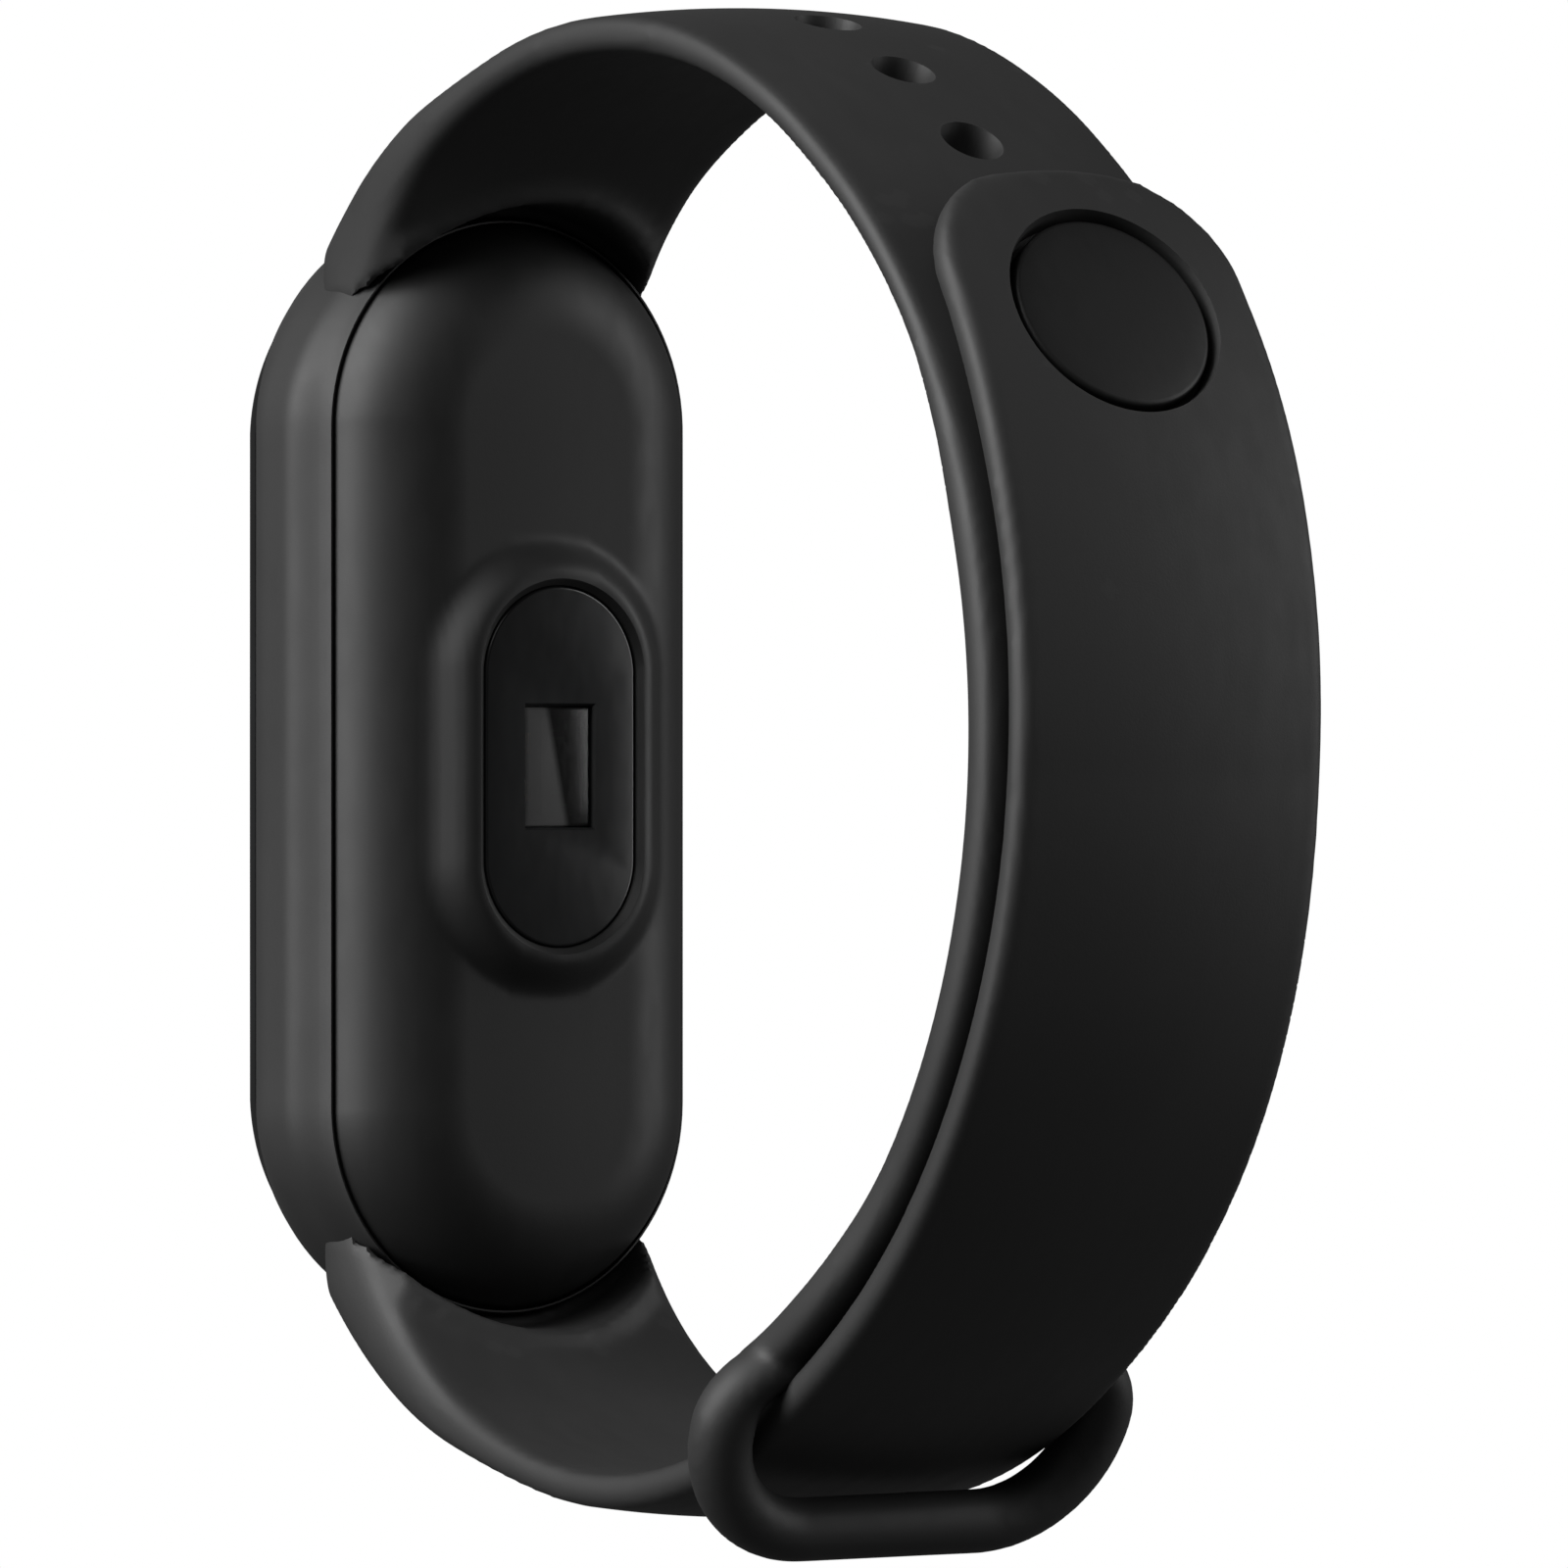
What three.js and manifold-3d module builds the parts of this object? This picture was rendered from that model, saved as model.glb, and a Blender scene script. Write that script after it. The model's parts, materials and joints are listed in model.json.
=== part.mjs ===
// Fitness tracker band: a pill-shaped tracker in a closed rubber strap.
// Millimetres. The wrist runs along Y, +Z is up and the origin is on the wrist's axis.
// The tracker stands upright on the -X side of the loop and its display faces -X.
import * as THREE from 'three'
import { mergeVertices } from 'three/addons/utils/BufferGeometryUtils.js'
import Module from 'manifold-3d'

const wasm = await Module()
wasm.setup()

// Driving dimensions
const gap = 0.3                      // kept between pieces that touch
const fine_gap = 0.1                 // kept between the small pieces inside the tracker

// Strap
const strap_width = 15
const strap_thickness = 2
const root_thickness = 3.4           // thickness of an arm where it leaves the cradle
const root_length = 13               // length over which an arm thins down
const strap_edge = 0.6               // rounding of the strap's long edges
const upper_start = [-24.6, 20.1]    // where the upper arm's wrist side leaves the cradle
const upper_heading = 62.5           // its direction there, in degrees above +X
const upper_arcs = [[17.5, 48], [28, 165]]   // wrist side: radius and degrees of each bend
const lower_start = [-24.6, -20.3]   // where the lower arm's wrist side leaves the cradle
const lower_heading = -62
const lower_arcs = [[15, 38]]        // the bend next to the cradle
const station_step = 2.2             // spacing of the outline's points along the strap

// Clasp and adjustment holes, as distances along the upper arm's wrist side
const peg_distance = 51.2
const tip_distance = 43.4
const fold_distance = 71             // where the tail bends when it is peeled off
const keeper_distance = 92           // where the outer layer comes out of the keeper
const hole_pitch = 5.65
const holes_above_peg = 4
const holes_below_peg = 6
const hole_radius = 1.5
const tip_corner = 5.4
const button_radius = 4.5
const button_recess = 1.2
const button_rim = 0.2
const peg_radius = 1
const stud_radius = 1.3
const button_clearance = 0.25        // round the button in its recess
const stud_clearance = 0.2           // round the stud in the tail's hole

// Keeper loop
const keeper_center = [6.2, -28]     // X and Z of its middle
const keeper_height = 9.2
const keeper_width = 21.2
const keeper_bar = 2.7               // of the posts and the outer bar
const keeper_inner_bar = 1.8
const keeper_corner = 4.2
const keeper_tilt = 8                // degrees it leans with the strap that runs through it

// Tracker, front to back along its own z, measured from the cradle's wrist-side edge
const tracker_width = 18
const tracker_length = 46.9
const cradle_plane = -25             // X of the cradle's wrist-side edge
const cradle_wall = 0.9
const cradle_depth = 5.3
const cradle_round = 0.7             // how far the cradle's outer edges draw in
const cradle_slope = 2.4             // and over what depth
const shell_wall = 0.9
const shell_front = 6
const shell_back = -3.2
const shell_round = 2.6
const boss_back = -4.35
const boss_size = [11.4, 19.4]
const window_size = [7.6, 15.4]
const window_thickness = 0.7
const glass_front = 7.65
const glass_thickness = 1.2
const display_size = [12.6, 27.6]
const board_low = -0.6
const board_high = 0.2
const battery_size = [11.4, 25, 3.2]
const battery_center = -1.5          // along the tracker's length
const motor_center = 16.2            // along the tracker's length
const motor_radius = 3.9
const connector_y = -18.4            // display connector, along the tracker's length
const eject_clearance = 0.25         // all round between the tracker and the cradle

const group = new THREE.Group()
group.name = 'fitness_tracker_band'

// Materials

function material(color, roughness, metalness = 0) {
  return new THREE.MeshStandardMaterial({ color, roughness, metalness })
}

const rubber = () => material(0x222222, 0.62)
const shell_plastic = () => material(0x202020, 0.45)
const black_plastic = () => material(0x151515, 0.5)
const dark_glass = () => material(0x0b0b0d, 0.12)
const board_green = () => material(0x14402a, 0.5)
const chip_black = () => material(0x1a1a1c, 0.4)
const steel = () => material(0xb4b6b8, 0.3, 1)
const gold = () => material(0xc9a552, 0.3, 1)
const flex_amber = () => material(0x8a5a1c, 0.45)
const foil = () => material(0x9a9ca0, 0.35, 0.8)

// Solids: closed meshes to and from the boolean library

function solid(geometry) {
  const bare = geometry.clone()
  bare.deleteAttribute('normal')
  bare.deleteAttribute('uv')
  const merged = mergeVertices(bare, 1e-4)
  return new wasm.Manifold(new wasm.Mesh({
    numProp: 3,
    vertProperties: new Float32Array(merged.attributes.position.array),
    triVerts: new Uint32Array(merged.index.array),
  }))
}

function shaped(body) {
  const mesh = body.getMesh()
  const geometry = new THREE.BufferGeometry()
  geometry.setAttribute('position', new THREE.BufferAttribute(mesh.vertProperties, 3))
  geometry.setIndex(new THREE.BufferAttribute(mesh.triVerts, 1))
  return geometry
}

function cut(geometry, ...tools) {
  let body = solid(geometry)
  for (const tool of tools) {
    body = body.subtract(solid(tool))
  }
  return shaped(body)
}

function join(...parts) {
  let body = solid(parts[0])
  for (const part of parts.slice(1)) {
    body = body.add(solid(part))
  }
  return shaped(body)
}

function common(first, second) {
  return shaped(solid(first).intersect(solid(second)))
}

function add(parent, name, geometry, look) {
  const mesh = new THREE.Mesh(geometry, look)
  mesh.name = name
  parent.add(mesh)
  return mesh
}

// Outlines

function stadium(width, length) {
  const radius = width / 2
  const straight = length / 2 - radius
  const shape = new THREE.Shape()
  shape.absarc(0, straight, radius, 0, Math.PI)
  shape.absarc(0, -straight, radius, Math.PI, 2 * Math.PI)
  shape.closePath()
  return shape
}

function rectangle(width, length, x = 0, y = 0, corner = 0) {
  const shape = new THREE.Shape()
  const [left, right] = [x - width / 2, x + width / 2]
  const [low, high] = [y - length / 2, y + length / 2]
  if (corner === 0) {
    shape.moveTo(left, low).lineTo(right, low).lineTo(right, high).lineTo(left, high)
  } else {
    shape.absarc(right - corner, high - corner, corner, 0, Math.PI / 2)
    shape.absarc(left + corner, high - corner, corner, Math.PI / 2, Math.PI)
    shape.absarc(left + corner, low + corner, corner, Math.PI, 1.5 * Math.PI)
    shape.absarc(right - corner, low + corner, corner, 1.5 * Math.PI, 2 * Math.PI)
  }
  shape.closePath()
  return shape
}

function circle(radius, x = 0, y = 0) {
  const shape = new THREE.Shape()
  shape.absarc(x, y, radius, 0, 2 * Math.PI)
  return shape
}

function ring(outer, inner) {
  outer.holes.push(inner)
  return outer
}

// A plate between two heights on z, its edges rounded by bevel
function plate(shape, low, high, bevel = 0, curveSegments = 8) {
  const geometry = new THREE.ExtrudeGeometry(shape, {
    depth: high - low - 2 * bevel,
    curveSegments,
    bevelEnabled: bevel > 0,
    bevelThickness: bevel,
    bevelSize: bevel,
    bevelOffset: -bevel,
    bevelSegments: bevel > 1 ? 3 : 2,
  })
  geometry.translate(0, 0, low + bevel)
  return geometry
}

// Strap paths in the XZ plane. A station is a point on the wrist side with its outward normal.

function station(x, z, heading, distance) {
  return { x, z, heading, distance, normal: [-Math.sin(heading), Math.cos(heading)] }
}

// Walks arcs that bend one way: turn 1 bends right, turn -1 bends left
function walk(start, heading_degrees, arcs, turn) {
  const stations = []
  let heading = THREE.MathUtils.degToRad(heading_degrees)
  let [x, z] = start
  let distance = 0
  stations.push(station(x, z, heading, distance))
  for (const [radius, degrees] of arcs) {
    const sweep = THREE.MathUtils.degToRad(degrees)
    const steps = Math.ceil(radius * sweep / station_step)
    const center = [x + turn * radius * Math.sin(heading), z - turn * radius * Math.cos(heading)]
    for (let step = 1; step <= steps; step++) {
      const angle = heading - turn * sweep * step / steps
      x = center[0] - turn * radius * Math.sin(angle)
      z = center[1] + turn * radius * Math.cos(angle)
      stations.push(station(x, z, angle, distance + radius * sweep * step / steps))
    }
    heading -= turn * sweep
    distance += radius * sweep
  }
  return stations
}

// The exact station at a distance along a path
function station_at(path, distance) {
  const after = path.findIndex((s) => s.distance >= distance)
  const [a, b] = [path[Math.max(after - 1, 0)], path[Math.max(after, 1)]]
  const t = (distance - a.distance) / (b.distance - a.distance)
  const mix = (p, q) => p + (q - p) * t
  return station(mix(a.x, b.x), mix(a.z, b.z), mix(a.heading, b.heading), distance)
}

function stretch(path, from, to) {
  const margin = station_step / 2
  const inside = path.filter((s) => s.distance > from + margin && s.distance < to - margin)
  return [station_at(path, from), ...inside, station_at(path, to)]
}

// Moves each station out along its normal
function raised(path, height) {
  return path.map((s) => ({ ...s, x: s.x + s.normal[0] * height, z: s.z + s.normal[1] * height }))
}

// The side view of a strap layer, closed, from its wrist side and its thickness at each station
function layer_outline(path, thickness_at) {
  const inner = path.map((s) => new THREE.Vector2(s.x, s.z))
  const outer = path.map((s) => {
    const t = thickness_at(s)
    return new THREE.Vector2(s.x + s.normal[0] * t, s.z + s.normal[1] * t)
  })
  return new THREE.Shape([...inner, ...outer.reverse()])
}

// Extrudes a side view across the wrist, centred on Y = 0
function across(shape, width, bevel = 0) {
  const geometry = plate(shape, -width / 2, width / 2, bevel)
  geometry.rotateX(Math.PI / 2)
  return geometry
}

// Puts a tool made along +z at a station, so that its z runs along the outward normal
function on_station(geometry, s, height) {
  const normal = new THREE.Vector3(s.normal[0], 0, s.normal[1])
  const along = new THREE.Vector3(Math.cos(s.heading), 0, Math.sin(s.heading))
  const side = new THREE.Vector3().crossVectors(along, normal)
  const place = new THREE.Matrix4().makeBasis(side, along, normal)
  place.setPosition(s.x + s.normal[0] * height, 0, s.z + s.normal[1] * height)
  geometry.applyMatrix4(place)
  return geometry
}

const upper_path = walk(upper_start, upper_heading, upper_arcs, 1)
const upper_length = upper_path.at(-1).distance
const outer_lift = strap_thickness + gap

function root_taper(distance) {
  const left = Math.max(0, 1 - distance / root_length)
  return strap_thickness + (root_thickness - strap_thickness) * left * left
}

// The tracker's own frame in the strap's: its x runs to -Y, its y up and its z to the display's side
const tracker_frame = new THREE.Matrix4().makeBasis(
  new THREE.Vector3(0, -1, 0),
  new THREE.Vector3(0, 0, 1),
  new THREE.Vector3(-1, 0, 0),
)
tracker_frame.setPosition(cradle_plane, 0, 0)

function tracker_side(geometry) {
  geometry.applyMatrix4(tracker_frame)
  return geometry
}

const bore = 2 * eject_clearance
const cradle_outer = [tracker_width + bore + 2 * cradle_wall, tracker_length + bore + 2 * cradle_wall]

function cradle_cutter() {
  return tracker_side(plate(stadium(cradle_outer[0] + 2 * gap, cradle_outer[1] + 2 * gap), -gap, 20))
}

function pocket_cutter() {
  return tracker_side(plate(stadium(tracker_width + bore, tracker_length + bore), -6, 20))
}

function make_cradle() {
  const blank = new THREE.ExtrudeGeometry(stadium(...cradle_outer), {
    depth: cradle_depth - 2 * cradle_slope,
    curveSegments: 10,
    bevelThickness: cradle_slope,
    bevelSize: cradle_round,
    bevelOffset: -cradle_round,
    bevelSegments: 3,
  })
  blank.translate(0, 0, cradle_slope)
  const inside = plate(stadium(tracker_width + bore, tracker_length + bore), -5, 20, 0, 10)
  return tracker_side(cut(blank, inside))
}

function make_upper_arm() {
  const path = stretch(upper_path, 0, upper_length)
  const blank = across(layer_outline(path, (s) => root_taper(s.distance)), strap_width, strap_edge)
  const holes = []
  for (let k = -holes_above_peg; k <= holes_below_peg; k++) {
    const s = station_at(upper_path, peg_distance + k * hole_pitch)
    holes.push(on_station(plate(circle(hole_radius), -2, strap_thickness + 2, 0, 8), s, 0))
  }
  return cut(blank, cradle_cutter(), pocket_cutter(), ...holes)
}

function make_keeper() {
  const opening = [keeper_width - 2 * keeper_bar, keeper_height - keeper_bar - keeper_inner_bar]
  const outline = ring(
    rectangle(keeper_width, keeper_height, 0, 0, keeper_corner),
    rectangle(...opening, 0, (keeper_bar - keeper_inner_bar) / 2, keeper_corner - keeper_bar),
  )
  const geometry = plate(outline, -keeper_bar / 2, keeper_bar / 2, 0.8, 4)
  geometry.rotateX(Math.PI / 2)
  geometry.rotateZ(Math.PI / 2)
  geometry.rotateY(THREE.MathUtils.degToRad(-keeper_tilt))
  geometry.translate(keeper_center[0], 0, keeper_center[1])
  return geometry
}

// The outer layer's wrist side: from the tip down to the keeper, then along the bottom to the cradle
function make_outer_path() {
  const upper_part = raised(stretch(upper_path, tip_distance, keeper_distance), outer_lift)
  const root = walk(lower_start, lower_heading, lower_arcs, -1).reverse()
  const [from, to] = [upper_part.at(-1), root[0]]
  const reach = 0.4 * Math.hypot(to.x - from.x, to.z - from.z)
  const curve = new THREE.CubicBezierCurve(
    new THREE.Vector2(from.x, from.z),
    new THREE.Vector2(from.x + reach * Math.cos(from.heading), from.z + reach * Math.sin(from.heading)),
    new THREE.Vector2(to.x + reach * Math.cos(to.heading), to.z + reach * Math.sin(to.heading)),
    new THREE.Vector2(to.x, to.z),
  )
  const steps = Math.round(curve.getLength() / station_step)
  const middle = []
  for (let step = 1; step < steps; step++) {
    const point = curve.getPointAt(step / steps)
    const tangent = curve.getTangentAt(step / steps)
    middle.push(station(point.x, point.y, Math.atan2(tangent.y, tangent.x), 0))
  }
  const backwards = root.map((s) => station(s.x, s.z, s.heading + Math.PI, 0))
  const path = [...upper_part, ...middle, ...backwards]
  for (let i = 1; i < path.length; i++) {
    const [a, b] = [path[i - 1], path[i]]
    if (i >= upper_part.length) {
      b.distance = a.distance + Math.hypot(b.x - a.x, b.z - a.z)
    }
    b.heading += 2 * Math.PI * Math.round((a.heading - b.heading) / (2 * Math.PI))
  }
  return path
}

const outer_path = make_outer_path()
const outer_end = outer_path.at(-1).distance

function make_lower_arm() {
  const path = stretch(outer_path, fold_distance + gap / 2, outer_end)
  const blank = across(
    layer_outline(path, (s) => root_taper(outer_end - s.distance)),
    strap_width,
    strap_edge,
  )
  return cut(blank, cradle_cutter(), pocket_cutter())
}

// The squarish tip: everything below the tip's end, inside the strap's width, corners rounded
function tip_mask() {
  const s = station_at(upper_path, peg_distance)
  const reach = 60
  const beyond = peg_distance - tip_distance
  const mask = plate(rectangle(strap_width + 1, reach, 0, reach / 2 - beyond, tip_corner), -30, 30, 0, 8)
  return on_station(mask, s, outer_lift)
}

function make_tail() {
  const path = stretch(outer_path, tip_distance, fold_distance - gap / 2)
  const blank = across(layer_outline(path, () => strap_thickness), strap_width, strap_edge)
  const s = station_at(upper_path, peg_distance)
  const floor = outer_lift + strap_thickness - button_recess
  const recess = on_station(plate(circle(button_radius + button_clearance), 0, 5, 0, 12), s, floor)
  const through = on_station(plate(circle(stud_radius + stud_clearance), -4, 4, 0, 8), s, floor)
  return cut(common(blank, tip_mask()), recess, through)
}

function make_button() {
  const top = strap_thickness + button_rim
  const floor = strap_thickness - button_recess + fine_gap
  const profile = [
    [0, -outer_lift + 0.1],
    [peg_radius * 0.6, -outer_lift + 0.1],
    [peg_radius, -outer_lift + 0.6],
    [peg_radius, -0.1],
    [stud_radius, 0.2],
    [stud_radius, floor],
    [button_radius, floor],
    [button_radius, top - 0.3],
    [button_radius - 0.3, top],
    [0, top + 0.1],
  ]
  const geometry = new THREE.LatheGeometry(profile.map(([r, z]) => new THREE.Vector2(r, z)), 24)
  geometry.rotateX(Math.PI / 2)
  return on_station(geometry, station_at(upper_path, peg_distance), outer_lift)
}

add(group, 'strap_cradle', make_cradle(), rubber())
add(group, 'strap_upper_arm', make_upper_arm(), rubber())
add(group, 'strap_keeper_loop', make_keeper(), rubber())
add(group, 'strap_lower_arm', make_lower_arm(), rubber())
add(group, 'strap_tail', make_tail(), rubber())
add(group, 'clasp_button', make_button(), rubber())

// Tracker: every piece below is laid out in the tracker's own frame, x across, y up, z to the front

const tracker = new THREE.Group()
tracker.applyMatrix4(tracker_frame)
group.add(tracker)

const cavity = [tracker_width - 2 * shell_wall, tracker_length - 2 * shell_wall]
const boss_cavity = [boss_size[0] - 3.4, boss_size[1] - 3.4]
const window_low = boss_back + window_thickness
const contact_x = 2.6
const contact_z = 2

function contact_hole(radius, low, high) {
  const geometry = plate(circle(radius), low, high, 0, 8)
  geometry.rotateX(Math.PI / 2)
  geometry.translate(0, -tracker_length / 2, contact_z)
  return geometry
}

function make_rear_shell() {
  const body = plate(stadium(tracker_width, tracker_length), shell_back, shell_front + 6, shell_round, 10)
  const boss = plate(stadium(...boss_size), boss_back, shell_back + 3, 0.9, 8)
  const front = plate(rectangle(40, 80), shell_front, shell_front + 20)
  const inside = plate(stadium(...cavity), shell_back + shell_wall, shell_front + 10, 1.6, 8)
  const boss_inside = plate(stadium(...boss_cavity), boss_back + 1.5, 2)
  const window_room = stadium(window_size[0] + gap, window_size[1] + gap)
  const recess = plate(window_room, boss_back - 2, window_low + fine_gap)
  const sight = plate(stadium(window_size[0] - 2, window_size[1] - 2), boss_back - 2, 0)
  const holes = [-contact_x, contact_x].map((x) => contact_hole(1.35, -4, 4).translate(x, 0, 0))
  return cut(join(body, boss), front, inside, boss_inside, recess, sight, ...holes)
}

add(tracker, 'rear_shell', make_rear_shell(), shell_plastic())

// Optical sensor behind its window
const sensor_size = [3.4, 5.2]
const sensor_board_low = -2.1
const sensor_board_high = -1.6

function make_light_barrier() {
  const low = -3.2
  const high = sensor_board_low - fine_gap
  const cells = [
    plate(rectangle(1.5, 4.2, -0.75 - 0.1), low - 1, high + 1),
    plate(rectangle(1, 4.2, 0.85), low - 1, high + 1),
  ]
  return cut(plate(rectangle(...sensor_size), low, high), ...cells)
}

add(tracker, 'sensor_window', plate(stadium(...window_size), boss_back, window_low, 0.15), dark_glass())
add(
  tracker,
  'window_gasket',
  plate(
    ring(
      stadium(window_size[0] - 2.4, window_size[1] - 2.4),
      stadium(window_size[0] - 3.4, window_size[1] - 3.4),
    ),
    window_low + fine_gap,
    window_low + 0.6,
  ),
  black_plastic(),
)
add(tracker, 'light_barrier', make_light_barrier(), black_plastic())
const emitter_side = 0.85             // how far the sensor's cells stand to each side of its middle
const cell_front = -2.6
const cell_back = sensor_board_low - fine_gap
const receiver = rectangle(1.2, 2, -emitter_side)
add(tracker, 'light_receiver', plate(receiver, cell_front, cell_back), chip_black())
const upper_emitter = rectangle(0.7, 0.9, emitter_side, 1)
add(tracker, 'upper_light_emitter', plate(upper_emitter, cell_front, cell_back), gold())
const lower_emitter = rectangle(0.7, 0.9, emitter_side, -1)
add(tracker, 'lower_light_emitter', plate(lower_emitter, cell_front, cell_back), gold())
add(
  tracker,
  'sensor_board',
  plate(stadium(6.6, 14.6), sensor_board_low, sensor_board_high),
  board_green(),
)

// Main board with its chips on the wrist side
const chip_high = board_low - fine_gap

function chip(name, width, length, x, y, height, look) {
  add(tracker, name, plate(rectangle(width, length, x, y), chip_high - height, chip_high), look)
}

add(
  tracker,
  'main_board',
  cut(
    plate(stadium(15.4, 44), board_low, board_high),
    plate(circle(motor_radius + 0.4, 0, motor_center), -3, 3),
  ),
  board_green(),
)
chip('radio_chip', 4.5, 4.5, 0, -10.5, 0.6, chip_black())
chip('motion_sensor', 2.5, 2.5, -4.8, -4, 0.6, chip_black())
chip('power_chip', 2.4, 2.4, 4.6, -7, 0.5, chip_black())
chip('clock_crystal', 1.6, 3.2, 4.8, 2, 0.5, steel())
chip('antenna', 8, 1.2, 0, -19, 0.5, gold())

// Battery with its protection board and foam pad
add(
  tracker,
  'battery_foam_pad',
  plate(rectangle(9, 20, 0, battery_center), board_high + fine_gap, board_high + 0.5),
  black_plastic(),
)
const battery_low = board_high + 0.6
const battery_high = battery_low + battery_size[2]
add(
  tracker,
  'battery',
  plate(
    rectangle(battery_size[0], battery_size[1], 0, battery_center, 1.2),
    battery_low,
    battery_high,
    0.5,
    4,
  ),
  foil(),
)
add(
  tracker,
  'battery_protection_board',
  plate(rectangle(9, 2.6, 0, battery_center - battery_size[1] / 2 - 1.7), battery_low, battery_low + 0.8),
  board_green(),
)

// Vibration motor: base, fixed shaft, off-centre weight and can
const motor_low = -1.9
const motor_high = 1.2

function at_motor(geometry) {
  geometry.translate(0, motor_center, 0)
  return geometry
}

function make_motor_weight() {
  const half = new THREE.Shape()
  half.absarc(0, 0, 3.1, 0.1, Math.PI - 0.1)
  half.closePath()
  const low = motor_low + 0.9
  const high = motor_high - 0.7
  const disc = join(plate(half, low, high), plate(circle(1), low, high))
  return at_motor(cut(disc, plate(circle(0.5), motor_low, motor_high)))
}

function make_motor_can() {
  const outside = plate(circle(motor_radius), motor_low + 0.5, motor_high)
  const inside = plate(circle(motor_radius - 0.4), motor_low - 1, motor_high - 0.4)
  return at_motor(cut(outside, inside))
}

add(tracker, 'motor_base', at_motor(plate(circle(motor_radius), motor_low, motor_low + 0.4)), steel())
add(tracker, 'motor_shaft', at_motor(plate(circle(0.4), motor_low + 0.5, motor_high - 0.5)), steel())
add(tracker, 'motor_weight', make_motor_weight(), steel())
add(tracker, 'motor_can', make_motor_can(), steel())

// Mid frame, display, touch film, gasket and front glass
const frame_low = battery_high + fine_gap
const frame_high = frame_low + 0.6
const display_low = frame_high + fine_gap
const glass_low = glass_front - glass_thickness

function make_mid_frame() {
  const outline = ring(stadium(15.8, 44.7), rectangle(8, 20, 0, battery_center, 1))
  return cut(
    plate(outline, frame_low, frame_high),
    plate(rectangle(7.5, 2, 0, connector_y), 0, 8),
  )
}

add(tracker, 'mid_frame', make_mid_frame(), black_plastic())
add(
  tracker,
  'display_panel',
  plate(rectangle(...display_size, 0, 1, 1), display_low, display_low + 1, 0, 4),
  dark_glass(),
)
add(
  tracker,
  'touch_film',
  plate(rectangle(13, 34, 0, 0, 3), display_low + 1.1, display_low + 1.3, 0, 5),
  chip_black(),
)
add(
  tracker,
  'glass_gasket',
  plate(
    ring(stadium(tracker_width - 0.6, tracker_length - 0.6), stadium(tracker_width - 2, tracker_length - 2)),
    shell_front + fine_gap,
    glass_low - fine_gap,
  ),
  black_plastic(),
)
add(
  tracker,
  'front_glass',
  plate(stadium(tracker_width - 0.5, tracker_length - 0.5), glass_low, glass_front, 0.55, 10),
  dark_glass(),
)

// Display flex: leaves the display's lower end and turns down through the frame to its connector
function make_display_flex() {
  const thickness = 0.2
  const top = display_low + 0.6
  const display_end = 1 - display_size[1] / 2 - fine_gap
  const side = new THREE.Shape()
  side.moveTo(display_end, top)
  side.lineTo(connector_y - thickness / 2, top)
  side.lineTo(connector_y - thickness / 2, board_high + 1)
  side.lineTo(connector_y + thickness / 2, board_high + 1)
  side.lineTo(connector_y + thickness / 2, top - thickness)
  side.lineTo(display_end, top - thickness)
  side.closePath()
  const geometry = plate(side, -3, 3)
  geometry.rotateY(Math.PI / 2)
  geometry.rotateX(Math.PI / 2)
  return geometry
}

add(tracker, 'display_flex', make_display_flex(), flex_amber())
add(
  tracker,
  'flex_connector',
  plate(rectangle(6.5, 1.6, 0, connector_y), board_high + fine_gap, board_high + 0.9),
  chip_black(),
)
add(
  tracker,
  'sensor_flex',
  plate(rectangle(2.4, 0.2, 0, 7.6), sensor_board_high - 0.4, chip_high),
  flex_amber(),
)

// Charging contacts with their insulating seals, through the lower end wall
for (const [side, x] of [['left', -contact_x], ['right', contact_x]]) {
  const seal = cut(contact_hole(1.25, -1.7, -0.9), contact_hole(0.85, -4, 4))
  add(tracker, `${side}_charging_contact`, contact_hole(0.75, -2.2, -0.5).translate(x, 0, 0), gold())
  add(tracker, `${side}_contact_seal`, seal.translate(x, 0, 0), black_plastic())
}

export default group
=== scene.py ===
# %% [markdown]
# # A fitness tracker band, piece by piece
#
# A pill-shaped tracker sits in a one-piece rubber strap. The strap is closed round an empty wrist: the tail goes
# through a keeper loop, lies on the upper arm and is held by a round push clasp.
#
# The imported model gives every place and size. It is loaded as a fixed frame, and the soft, rounded pieces are
# modelled over it. All shapes here are made in millimetres, because Blender's tools behave best at that size, and
# each finished piece is brought down to metres.

import math

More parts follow.
